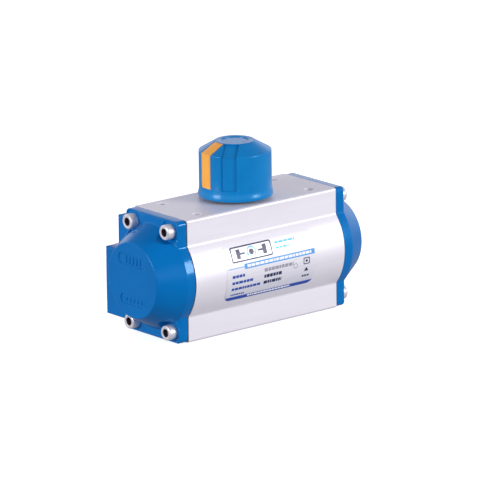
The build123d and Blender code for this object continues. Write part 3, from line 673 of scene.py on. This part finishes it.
def indicator_piece(material):
    """The knob as one closed moulding with four sunk slots and a hub inside."""
    floor = KNOB_FLOOR
    top = [
        (KNOB_BORE, floor), (KNOB_HOLE_RADIUS - 0.2, floor), (KNOB_HOLE_RADIUS, floor + 0.2),
        (KNOB_HOLE_RADIUS, KNOB_TOP - 0.45), (KNOB_HOLE_RADIUS + 0.1, KNOB_TOP - 0.15),
        (KNOB_HOLE_RADIUS + 0.4, KNOB_TOP), (KNOB_TOP_RADIUS - 0.4, KNOB_TOP),
        (KNOB_TOP_RADIUS - 0.1, KNOB_TOP - 0.03), (KNOB_TOP_RADIUS + 0.15, cone_z(KNOB_TOP_RADIUS + 0.17)),
    ]
    rim = KNOB_BOTTOM + KNOB_RIM
    low = [
        (KNOB_RADIUS, rim + 3.2), (KNOB_RADIUS + 0.04, rim + 2.3), (KNOB_RADIUS + 0.16, rim + 1.4),
        (KNOB_RADIUS + 0.36, rim + 0.6), (KNOB_RIM_RADIUS - 0.06, rim - 0.2),
        (KNOB_RIM_RADIUS, rim - 0.8), (KNOB_RIM_RADIUS, KNOB_BOTTOM + 0.45),
        (KNOB_RIM_RADIUS - 0.1, KNOB_BOTTOM + 0.15), (KNOB_RIM_RADIUS - 0.4, KNOB_BOTTOM),
    ]
    wall, ceiling = KNOB_RADIUS - KNOB_WALL, KNOB_SHOULDER - 2
    under = [
        (wall + 0.2, KNOB_BOTTOM), (wall, KNOB_BOTTOM + 0.2), (wall, ceiling - 0.4), (wall - 0.4, ceiling),
        (KNOB_HUB_RADIUS + 0.4, ceiling), (KNOB_HUB_RADIUS, ceiling - 0.4),
        (KNOB_HUB_RADIUS, KNOB_HUB_BOTTOM + 0.3), (KNOB_HUB_RADIUS - 0.3, KNOB_HUB_BOTTOM),
        (SHAFT_RADIUS + 0.2, KNOB_HUB_BOTTOM), (SHAFT_RADIUS, KNOB_HUB_BOTTOM + 0.2),
        (SHAFT_RADIUS, SHAFT_TOP), (KNOB_BORE, SHAFT_TOP),
    ]
    still = (0.0, 0.0)
    rows = [knob_ring(r, z, still, 0.0, SLOT_INNER_RADIUS) for r, z in top]
    rows += [knob_ring(r, z, inward, share, max(r, SLOT_INNER_RADIUS)) for r, z, inward, share in skin_rows()]
    rows += [knob_ring(r, z, still, 0.0, KNOB_RADIUS) for r, z in low + under]
    verts = sum(rows, [])
    columns = len(rows[0])
    faces = grid_faces(len(rows), columns, True)
    bridge(faces, range(len(verts) - columns, len(verts)), range(columns))
    shape = (verts, [tuple(reversed(face)) for face in faces])
    add_piece("indicator_knob", shape, [material], 40, "shaft", "position_indicator")


def cover_piece(material):
    """Plain cap over the indicator's screw, its top just below the rim."""
    top, bottom = KNOB_TOP - COVER_SUNK, KNOB_FLOOR
    inner, ceiling = COVER_RADIUS - COVER_WALL, top - COVER_WALL
    rows = [
        (0.5, ceiling), (inner - 0.3, ceiling), (inner, ceiling - 0.3), (inner, bottom + 0.1),
        (inner + 0.1, bottom), (COVER_RADIUS - 0.1, bottom), (COVER_RADIUS, bottom + 0.1),
        (COVER_RADIUS, top - 0.2), (COVER_RADIUS - 0.06, top - 0.06), (COVER_RADIUS - 0.2, top),
        (COVER_RADIUS - 1.0, top), (0.5, top),
    ]
    shape = lathe(rows, ROUND_STEPS)
    add_piece("indicator_cap", shape, [material], 50, "shaft", "indicator_cover")


def stripe_pieces(material):
    """The coloured inlays of two slots, each a closed strip that follows the side and the cone."""
    rows = [row for row in skin_rows() if row[3] == 1.0]
    ends = [INLAY_END_ROUND] + [0.0] * (len(rows) - 2) + [INLAY_END_ROUND]
    parts = []
    for turn in STRIPE_ANGLES:
        centre = math.radians(turn + REST_ANGLE)
        verts = []
        for layer in ("skin", "floor"):
            for (radius, z, inward, _), end in zip(rows, ends):
                for sideways, margin, drop in INLAY_COLUMNS:
                    share = INLAY_FLOOR if layer == "floor" else INLAY_SUNK + drop + end
                    r = radius + inward[0] * share
                    offset = sideways * (slot_half(radius) - SLOT_SIDE - margin)
                    verts.append(around(r, centre + math.asin(offset / r), z + inward[1] * share))
        count, columns = len(rows), len(INLAY_COLUMNS)
        skin = grid_faces(count, columns, False)
        base = count * columns
        floor = [tuple(base + i for i in reversed(face)) for face in skin]
        rim = list(range(columns))
        rim += [columns * row + columns - 1 for row in range(1, count)]
        rim += [columns * (count - 1) + i for i in range(columns - 2, -1, -1)]
        rim += [columns * row for row in range(count - 2, 0, -1)]
        walls = []
        bridge(walls, [base + i for i in rim], rim)
        parts.append((verts, [tuple(reversed(f)) for f in skin + floor + walls]))
    shape = joined(parts)
    add_piece("indicator_inlays", shape, [material], 50, "shaft", "indicator_stripes")


def knob_screw(materials):
    """Socket screw in the indicator's counterbore, under the cover."""
    screw, faces, indices = socket_screw(*M6_SCREW)
    seat = Matrix.Translation((0, 0, KNOB_FLOOR)) @ Matrix.Rotation(math.radians(12 + REST_ANGLE), 4, "Z")
    shape = (moved(screw, seat), faces)
    add_piece("indicator_bolt", shape, materials, 50, "shaft", "indicator_screw", indices)


# ---- Data label ----
LABEL_HALF_U = label_high.x
LABEL_ANGLES = [math.asin((z - AXIS_Z) / BARREL_RADIUS) for z in (label_low.z, label_high.z)]
LABEL_MIDDLE = sum(LABEL_ANGLES) / 2
LABEL_HALF_V = (LABEL_ANGLES[1] - LABEL_ANGLES[0]) / 2 * LABEL_RADIUS
LABEL_CORNER = 4.0
PRINT_HEIGHT = 0.03


def on_barrel(u, v, radius):
    """Point on the barrel's front from label coordinates, u along it and v up round it."""
    angle = LABEL_MIDDLE + v / LABEL_RADIUS
    return (u, -radius * math.cos(angle), AXIS_Z + radius * math.sin(angle))


def wrapped(loops, low, high, spacing=0.8, bevel=0.0):
    """Closed thin plate on the barrel from flat loops; the first is outside, the rest are holes."""
    loops = [spread(loop, spacing) for loop in loops]
    us = [p[0] for p in loops[0]]
    vs = [p[1] for p in loops[0]]
    extra = []
    for i in range(1, int((max(us) - min(us)) / spacing)):
        for j in range(1, int((max(vs) - min(vs)) / spacing) + 1):
            point = (min(us) + i * spacing, min(vs) + (j - 0.5) * spacing)
            near = min(math.hypot(point[0] - p[0], point[1] - p[1]) for loop in loops for p in loop)
            if near > spacing * 0.55:
                extra.append(point)

    def solid(centre):
        return inside(centre, loops[0]) and not any(inside(centre, hole) for hole in loops[1:])

    extra = [p for p in extra if solid(p)]
    flat, faces, rims = triangulate(loops, extra, solid)
    count = len(flat)
    verts = [on_barrel(u, v, high) for u, v in flat] + [on_barrel(u, v, low) for u, v in flat]
    if bevel:
        for i in rims[0]:
            verts[i] = on_barrel(*flat[i], high - bevel)
    faces = faces + [tuple(count + i for i in reversed(face)) for face in faces]
    for number, (loop, rim) in enumerate(zip(loops, rims)):
        if (area(loop) > 0) == (number > 0):
            rim = rim[::-1]
        bridge(faces, [count + i for i in rim], rim)
    return verts, faces


def area(loop):
    """Signed area of a closed loop."""
    return sum(loop[i - 1][0] * loop[i][1] - loop[i][0] * loop[i - 1][1] for i in range(len(loop))) / 2


def rounded_loop(u0, v0, u1, v1, radius):
    """Rectangle with rounded corners, anticlockwise."""
    corners = [(u0, v0), (u1, v0), (u1, v1), (u0, v1)]
    points = []
    for i, corner in enumerate(corners):
        points += round_corner(corners[i - 1], corner, corners[(i + 1) % 4], radius, 5)
    return points


def arc_arrow(centre, radius, width, start, end, head):
    """Curved arrow as one loop: an arc of a band with a triangular head at its end."""
    outer = arc(centre, radius + width / 2, start, end, 20)
    inner = arc(centre, radius - width / 2, end, start, 20)
    tip_angle = end + math.degrees(head / radius) * (1 if end > start else -1)
    tip = arc(centre, radius, tip_angle, tip_angle, 1)[0]
    wide = arc(centre, radius + width * 1.5, end, end, 1)[0]
    narrow = arc(centre, radius - width * 1.5, end, end, 1)[0]
    return outer + [wide, tip, narrow] + inner


def foot_band(height, inset=0.25):
    """The label's bottom edge up to a height, its lower corners rounded like the film's."""
    left, right = -LABEL_HALF_U + LABEL_CORNER, LABEL_HALF_U - LABEL_CORNER
    v = -LABEL_HALF_V + LABEL_CORNER
    radius = LABEL_CORNER - inset
    rise = math.degrees(math.asin((LABEL_CORNER - height) / radius))
    return arc((left, v), radius, 180 + rise, 270, 8) + arc((right, v), radius, 270, 360 - rise, 8)


def ring(centre, radius, line):
    """Circle drawn as an outer and an inner loop."""
    return [circle(centre, radius, 28), circle(centre, radius - line, 28)]


def drive_symbol(low, high):
    """Schematic of the drive: cylinder, two pistons and a quarter-turn arrow round the shaft."""
    line = 0.85
    outer = rounded_loop(*low, *high, 1.2)
    inner = rounded_loop(low[0] + line, low[1] + line, high[0] - line, high[1] - line, 0.6)
    u, v = (low[0] + high[0]) / 2, (low[1] + high[1]) / 2
    shapes = [("navy", [outer, inner])]
    for side in SIDES:
        head = u + side * 9.3
        rod = sorted((head - side * 1.3, u + side * 4.6))
        shapes.append(("navy", [rounded_loop(head - 1.4, v - 2.7, head + 1.4, v + 2.7, 0.3)]))
        shapes.append(("navy", [rounded_loop(rod[0], v - 0.6, rod[1], v + 0.6, 0.1)]))
    shapes.append(("navy", [circle((u, v), 1.7, 24)]))
    shapes.append(("cyan", [arc_arrow((u, v), 2.9, 0.7, -60, 195, 1.5)]))
    return shapes


def label_print():
    """The print as (ink, loops): drive symbol, bands, and rows of blank dashes for text."""
    u0, v0 = -LABEL_HALF_U, -LABEL_HALF_V
    width, height = 2 * LABEL_HALF_U, 2 * LABEL_HALF_V

    def at(u, v):
        return (u0 + width * u, v0 + height * (1 - v))

    def bar(left, top, right, bottom, corner=0.12):
        return [rounded_loop(*at(left, bottom), *at(right, top), corner)]

    def dashes(ink, left, right, top, thickness, size, seed):
        chance = random.Random(seed)
        shapes = []
        cursor = left
        while cursor < right:
            length = min(size * chance.uniform(0.4, 1.0), right - cursor)
            if length > 0.006:
                shapes.append((ink, bar(cursor, top, cursor + length, top + thickness)))
            cursor += length + 0.006
        return shapes

    shapes = drive_symbol(at(0.07, 0.325), at(0.53, 0.055))
    shapes += dashes("cyan", 0.57, 0.80, 0.115, 0.034, 0.07, 3)
    shapes += dashes("cyan", 0.57, 0.72, 0.205, 0.034, 0.07, 4)
    shapes.append(("band", bar(0.2, 0.365, 0.995, 0.455, 0.1)))
    shapes += dashes("paper", 0.23, 0.96, 0.388, 0.044, 0.05, 5)
    shapes.append(("band", bar(0.015, 0.405, 0.2, 0.418, 0.05)))
    rows = [
        (0.53, (0.06, 0.21), (0.42, 0.75), "grey"),
        (0.64, (0.06, 0.30), (0.42, 0.62), "navy"),
        (0.75, (0.06, 0.38), (0.42, 0.62), "navy"),
    ]
    for number, (top, name, value, ink_name) in enumerate(rows):
        shapes += dashes("blue", *name, top, 0.046, 0.045, 10 + number)
        shapes += dashes(ink_name, *value, top - 0.01, 0.056, 0.04, 20 + number)
    shapes += dashes("blue", 0.06, 0.22, 0.865, 0.03, 0.03, 31)
    shapes += dashes("navy", 0.86, 0.94, 0.80, 0.034, 0.03, 33)
    shapes.append(("grey", ring(at(0.775, 0.60), 1.5, 0.35)))
    u, v = at(0.90, 0.55)
    box = rounded_loop(u - 2.2, v - 1.9, u + 2.2, v + 1.9, 0.4)
    hole = rounded_loop(u - 1.7, v - 1.4, u + 1.7, v + 1.4, 0.3)
    shapes += [("navy", [box, hole]), ("navy", [circle((u, v), 0.75, 16)])]
    u, v = at(0.90, 0.70)
    shapes.append(("navy", [[(u - 1.6, v - 1.0), (u + 1.6, v - 1.0), (u, v + 1.3)]]))
    shapes.append(("blue", [foot_band(2.5)]))
    shapes += dashes("paper", 0.26, 0.74, 0.938, 0.03, 0.035, 41)
    return shapes


def label_pieces(film, inks):
    """The label's film and everything printed on it."""
    edge = rounded_loop(-LABEL_HALF_U, -LABEL_HALF_V, LABEL_HALF_U, LABEL_HALF_V, LABEL_CORNER)
    shape = wrapped([edge], BARREL_RADIUS, LABEL_RADIUS, 1.2, 0.06)
    add_piece("label_film", shape, [film], 60, "housing", "data_label")
    names = list(inks)
    parts, indices = [], []
    for ink, loops in label_print():
        top = LABEL_RADIUS + PRINT_HEIGHT * (1.8 if ink == "paper" else 1.0)
        verts, faces = wrapped(loops, LABEL_RADIUS - 0.02, top, 0.7)
        parts.append((verts, faces))
        indices += [names.index(ink)] * len(faces)
    shape, colours = joined(parts), list(inks.values())
    add_piece("label_print", shape, colours, 60, "housing", "data_label", indices)


# ---- Materials ----
def add_node(tree, kind, inputs):
    """Shader node whose inputs are sockets to link or plain values."""
    node = tree.nodes.new(f"ShaderNode{kind}")
    for name, value in inputs.items():
        if isinstance(value, bpy.types.NodeSocket):
            tree.links.new(value, node.inputs[name])
        else:
            node.inputs[name].default_value = value
    return node


class Surface:
    """A Principled material with a few node shortcuts; texture sizes are in millimetres."""

    def __init__(self, name, colour, roughness, metallic=0.0):
        self.material = bpy.data.materials.new(name)
        self.material.use_nodes = True
        self.tree = self.material.node_tree
        self.shader = self.tree.nodes["Principled BSDF"]
        self.set("Base Color", (*colour, 1.0))
        self.set("Roughness", roughness)
        self.set("Metallic", metallic)
        self.place = add_node(self.tree, "TexCoord", {}).outputs["Object"]

    def set(self, socket_name, value):
        """A value that is the same all over."""
        self.shader.inputs[socket_name].default_value = value
        return self

    def link(self, socket_name, value):
        """A value that varies, from a socket."""
        self.tree.links.new(value, self.shader.inputs[socket_name])
        return self

    def noise(self, size, stretch=(1, 1, 1), detail=3.0, roughness=0.55):
        """Noise whose grains are about size mm, longer along an axis with a small stretch."""
        mapping = add_node(self.tree, "Mapping", {"Vector": self.place, "Scale": stretch})
        grain = {"Scale": 1 / (size * MM), "Detail": detail, "Roughness": roughness}
        texture = add_node(self.tree, "TexNoise", {"Vector": mapping.outputs["Vector"], **grain})
        return texture.outputs["Fac"]

    def height(self):
        """Height in the object's own frame, in metres."""
        return add_node(self.tree, "SeparateXYZ", {"Vector": self.place}).outputs["Z"]

    def remap(self, value, low, high, start=0.3, end=0.7):
        """A number that runs from low to high while value runs from start to end."""
        span = {"From Min": start, "From Max": end, "To Min": low, "To Max": high}
        return add_node(self.tree, "MapRange", {"Value": value, **span}).outputs["Result"]

    def rough(self, value, low, high):
        """Roughness that varies with value."""
        return self.link("Roughness", self.remap(value, low, high))

    def blend(self, factor, first, second):
        """Colour between two, each a socket or a plain colour."""
        node = add_node(self.tree, "Mix", {"Factor": factor})
        node.data_type = "RGBA"
        for name, value in (("A", first), ("B", second)):
            target = [s for s in node.inputs if s.name == name and s.type == "RGBA"][0]
            if isinstance(value, tuple):
                target.default_value = (*value, 1.0)
            else:
                self.tree.links.new(value, target)
        return [s for s in node.outputs if s.type == "RGBA"][0]

    def colour(self, value):
        """Base colour from a socket."""
        return self.link("Base Color", value)

    def mottled(self, value, first, second):
        """Base colour that wanders between two."""
        return self.colour(self.blend(self.remap(value, 0, 1), first, second))

    def bumps(self, *layers):
        """Relief from (value, height in mm) layers, one on another."""
        normal = None
        for value, height in layers:
            relief = {"Strength": 1.0, "Distance": height * MM, "Height": value}
            if normal:
                relief["Normal"] = normal
            normal = add_node(self.tree, "Bump", relief).outputs["Normal"]
        return self.link("Normal", normal)


def anodised(name="anodised_aluminium"):
    """Clear anodised extrusion: faint die lines along its length and a fine etched grain."""
    surface = Surface(name, (0.83, 0.81, 0.85), 0.4, 0.22)
    lines = surface.noise(0.5, (0.012, 1, 1), 4.0, 0.7)
    grain = surface.noise(0.12, (1, 1, 1), 2.0)
    clouds = surface.noise(18, (0.4, 1, 1), 2.0)
    base = surface.blend(surface.remap(lines, 0, 1), (0.785, 0.765, 0.805), (0.83, 0.81, 0.845))
    surface.colour(surface.blend(surface.remap(clouds, 0.0, 0.25), base, (0.735, 0.72, 0.785)))
    surface.rough(lines, 0.36, 0.50)
    return surface.bumps((lines, 0.012), (grain, 0.006)).material


def blue_coating():
    """Glossy blue coat on a casting, with a faint orange peel."""
    surface = Surface("blue_coating", (0.0, 0.150, 0.44), 0.28)
    peel = surface.noise(1.6, detail=2.0)
    clouds = surface.noise(14, detail=2.0)
    surface.mottled(clouds, (0.0, 0.144, 0.435), (0.0, 0.160, 0.470))
    surface.rough(peel, 0.16, 0.24)
    surface.set("Specular Tint", (0.10, 0.55, 1.0, 1.0)).set("Specular IOR Level", 0.3)
    surface.set("Coat Weight", 0.22).set("Coat Roughness", 0.06)
    return surface.bumps((peel, 0.004)).material


def moulded(name, dark, light, tint=(1.0, 1.0, 1.0), low=0.28, high=0.38, coat=0.0):
    """Satin moulded plastic with a fine spark-eroded texture."""
    surface = Surface(name, light, low)
    grain = surface.noise(0.22, detail=3.0)
    clouds = surface.noise(9, detail=2.0)
    surface.mottled(clouds, dark, light)
    surface.rough(grain, low, high)
    surface.set("Specular Tint", (*tint, 1.0)).set("Coat Weight", coat).set("Coat Roughness", 0.15)
    return surface.bumps((grain, 0.004)).material


def turned_steel(name, colour, low, high, mark=0.6, metallic=1.0):
    """Bright machined steel with fine scratches and slightly dull patches."""
    surface = Surface(name, colour, low, metallic)
    scratches = surface.noise(mark, (1, 1, 0.15), 3.0)
    patches = surface.noise(3.5, detail=3.0)
    dark = tuple(c * 0.88 for c in colour)
    surface.colour(surface.blend(surface.remap(patches, 0.0, 0.7), colour, dark))
    surface.rough(scratches, low, high)
    return surface.bumps((scratches, 0.0008)).material


def cast_aluminium():
    """Machined die casting of the pistons."""
    surface = Surface("cast_aluminium", (0.62, 0.62, 0.63), 0.4, 1.0)
    grain = surface.noise(0.6, detail=4.0)
    surface.mottled(grain, (0.55, 0.55, 0.56), (0.68, 0.68, 0.69))
    surface.rough(grain, 0.32, 0.52)
    return surface.bumps((grain, 0.012)).material


def rubber():
    """Matt black rubber with a dusty bloom."""
    surface = Surface("black_rubber", (0.02, 0.02, 0.022), 0.7)
    bloom = surface.noise(2.5, detail=4.0)
    surface.mottled(bloom, (0.014, 0.014, 0.016), (0.035, 0.035, 0.037))
    surface.rough(bloom, 0.6, 0.8)
    return surface.bumps((surface.noise(0.3), 0.01)).material


def label_film():
    """Pale silver film, painted darker towards the bottom as shade, with a faint brushed grain."""
    surface = Surface("label_film", (0.84, 0.84, 0.88), 0.3, 0.2)
    grain = surface.noise(0.4, (0.02, 1, 1), 3.0)
    # Painted shade: the film's colour darkens from the axis height down to the label's lower edge.
    height = surface.remap(surface.height(), 0.0, 1.0, label_low.z * MM, AXIS_Z * MM)
    base = surface.blend(height, (0.66, 0.66, 0.74), (0.83, 0.825, 0.86))
    surface.colour(surface.blend(surface.remap(grain, 0.0, 0.12), base, (0.95, 0.95, 0.97)))
    surface.rough(grain, 0.26, 0.34)
    return surface.bumps((grain, 0.001)).material


def ink(name, colour):
    """Printed ink with slightly uneven cover."""
    surface = Surface(f"ink_{name}", colour, 0.35)
    cover = surface.noise(0.5, detail=3.0)
    paler = tuple(min(c * 1.15 + 0.01, 1.0) for c in colour)
    surface.mottled(cover, colour, paler)
    surface.rough(cover, 0.3, 0.42)
    return surface.material


INKS = {
    "navy": (0.010, 0.014, 0.075),
    "blue": (0.012, 0.060, 0.330),
    "cyan": (0.020, 0.480, 0.640),
    "band": (0.060, 0.300, 0.680),
    "grey": (0.300, 0.290, 0.340),
    "paper": (0.820, 0.840, 0.880),
}


def finish_frame(materials):
    """Gives every CAD node that stays in view its slot's material."""
    slots = {entry["node"]: entry["material_slot"] for entry in frame["record"]["subparts"]}
    for name, node in frame["nodes"].items():
        material = materials[slots[name]]
        if not node.material_slots:
            node.data.materials.append(material)
        for item in node.material_slots:
            item.material = material


# ---- Stage ----
# Angles in degrees and distances in millimetres; the lights' places and sizes are in metres.
CAMERA_AZIMUTH, CAMERA_ELEVATION, CAMERA_ROLL = -39.676, 14.998, -0.684
CAMERA_DISTANCE, CAMERA_AIM_Z = 2859.4, 35.0
CAMERA_RIGHT, CAMERA_UP = 7.525, 3.338
CAMERA_LENS = 372.97
# The world's light by height, from 0 straight down to 1 straight up: red and green, then blue.
WORLD_STOPS = (
    (0.0, 0.24, 0.28),
    (0.42, 0.28, 0.33),
    (0.52, 0.68, 0.75),
    (0.57, 1.14, 1.25),
    (0.66, 1.05, 1.18),
    (0.78, 0.30, 0.35),
    (1.0, 0.20, 0.24),
)
FLOOR_GLOW = 0.7
FLOOR_HALF, FLOOR_DROP = 6000.0, 0.05
LIGHT_AIM = Vector((0, 0, 0.04))
LIGHTS = (
    ("left", (-1.75, 0.30, 0.45), (0.7, 0.7), 16.5, (0.98, 0.98, 1.0)),
    ("front", (0.85, -1.65, 0.60), (0.7, 0.7), 26, (1.0, 0.98, 0.975)),
)


def camera_axes():
    """Right, up and backward directions of the camera."""
    azimuth, elevation = math.radians(CAMERA_AZIMUTH), math.radians(CAMERA_ELEVATION)
    roll = math.radians(CAMERA_ROLL)
    back = Vector((
        math.sin(azimuth) * math.cos(elevation), -math.cos(azimuth) * math.cos(elevation), math.sin(elevation)
    ))
    right = Vector((math.cos(azimuth), math.sin(azimuth), 0))
    up = back.cross(right)
    turned_right = math.cos(roll) * right + math.sin(roll) * up
    turned_up = -math.sin(roll) * right + math.cos(roll) * up
    return turned_right, turned_up, back


def add_camera():
    """Camera at the viewing angle, with a long lens and no shift."""
    right, up, back = camera_axes()
    spot = Vector((0, 0, CAMERA_AIM_Z)) + right * CAMERA_RIGHT + up * CAMERA_UP + back * CAMERA_DISTANCE
    data = bpy.data.cameras.new("camera")
    data.lens = CAMERA_LENS
    data.clip_end = 50.0
    camera = bpy.data.objects.new("camera", data)
    axes = Matrix((right, up, back)).transposed().to_4x4()
    camera.matrix_world = Matrix.Translation(spot * MM) @ axes
    bpy.context.scene.collection.objects.link(camera)
    bpy.context.scene.camera = camera


def area_light(name, place_at, size, power, colour):
    """Square softbox that points at the object."""
    data = bpy.data.lights.new(name, "AREA")
    data.shape = "RECTANGLE"
    data.size, data.size_y = size
    data.energy = power
    data.color = colour
    light = bpy.data.objects.new(name, data)
    light.location = place_at
    aim = LIGHT_AIM - Vector(place_at)
    light.rotation_euler = aim.to_track_quat("-Z", "Y").to_euler()
    bpy.context.scene.collection.objects.link(light)


def add_world():
    """White studio: plain white to the camera, else grey with a bright band over the horizon."""
    world = bpy.data.worlds.new("studio")
    world.use_nodes = True
    bpy.context.scene.world = world
    tree = world.node_tree
    tree.nodes.clear()
    direction = add_node(tree, "TexCoord", {}).outputs["Generated"]
    up = add_node(tree, "SeparateXYZ", {"Vector": direction}).outputs["Z"]
    height = add_node(tree, "MapRange", {"Value": up, "From Min": -1.0}).outputs["Result"]
    ramp = add_node(tree, "ValToRGB", {"Fac": height})
    stops = ramp.color_ramp.elements
    stops.remove(stops[1])
    for position, level, blue in WORLD_STOPS:
        stop = stops.new(position) if position else stops[0]
        stop.color = (level, level, blue, 1.0)
    lit = add_node(tree, "Background", {"Color": ramp.outputs["Color"]}).outputs["Background"]
    seen = add_node(tree, "Background", {"Color": (1.0, 1.0, 1.0, 1.0)}).outputs["Background"]
    camera_ray = add_node(tree, "LightPath", {}).outputs["Is Camera Ray"]
    mix = add_node(tree, "MixShader", {"Fac": camera_ray, 1: lit, 2: seen})
    add_node(tree, "OutputWorld", {"Surface": mix.outputs["Shader"]})


def add_floor():
    """Plain pale floor in the plane of the mounting face."""
    corners = ((-1, -1), (1, -1), (1, 1), (-1, 1))
    verts = [(x * FLOOR_HALF, y * FLOOR_HALF, -FLOOR_DROP) for x, y in corners]
    surface = Surface("pale_floor", (0.90, 0.90, 0.90), 0.6)
    surface.rough(surface.noise(60), 0.55, 0.7)
    surface.set("Emission Color", (1.0, 1.0, 1.0, 1.0)).set("Emission Strength", FLOOR_GLOW)
    floor = mesh_piece("floor", verts, [(0, 1, 2, 3)], [surface.material])
    floor.visible_glossy = False
    floor.visible_diffuse = False


def add_stage():
    """Floor, light and camera."""
    add_world()
    add_floor()
    add_camera()
    for name, spot, size, power, colour in LIGHTS:
        area_light(name, spot, size, power, colour)
    bpy.context.scene.view_settings.view_transform = "Standard"


# ---- Build ----
steel = turned_steel("stainless_steel", (0.86, 0.83, 0.85), 0.24, 0.32, metallic=0.45)
# Nearly black steel inside the hex sockets: painted shade, standing in for the little light that reaches into
# a socket.
socket_shade = turned_steel("painted_socket_shade", (0.07, 0.055, 0.075), 0.4, 0.55, metallic=0.5)
materials = {
    "anodised_body": anodised(),
    "blue_coating": blue_coating(),
    "indicator_blue": moulded(
        "indicator_blue", (0.001, 0.185, 0.485), (0.002, 0.208, 0.525), (0.15, 0.6, 1.0), coat=0.3
    ),
    "indicator_orange": moulded(
        "indicator_orange", (1.0, 0.42, 0.06), (1.0, 0.46, 0.075), (1.0, 0.7, 0.3), coat=0.3
    ),
    "stainless": steel,
    "zinc_steel": turned_steel("plated_steel", (0.56, 0.56, 0.54), 0.22, 0.42, 0.5),
    "bearing_polymer": moulded(
        "bearing_polymer", (0.60, 0.57, 0.48), (0.72, 0.69, 0.60), low=0.45, high=0.6
    ),
    "black_rubber": rubber(),
    "cast_aluminium": cast_aluminium(),
    "label_foil": label_film(),
}
finish_frame(materials)
for cap_side in SIDES:
    cap_piece(cap_side, materials["blue_coating"])
    cap_screw_group(cap_side, [steel, socket_shade])
stop_piece(steel)
indicator_piece(materials["indicator_blue"])
cover_piece(materials["indicator_blue"])
stripe_pieces(materials["indicator_orange"])
knob_screw([steel, socket_shade])
label_pieces(materials["label_foil"], {name: ink(name, colour) for name, colour in INKS.items()})
add_stage()


def plain(bounds):
    """Bounds as plain lists."""
    return [[float(value) for value in corner] for corner in bounds]
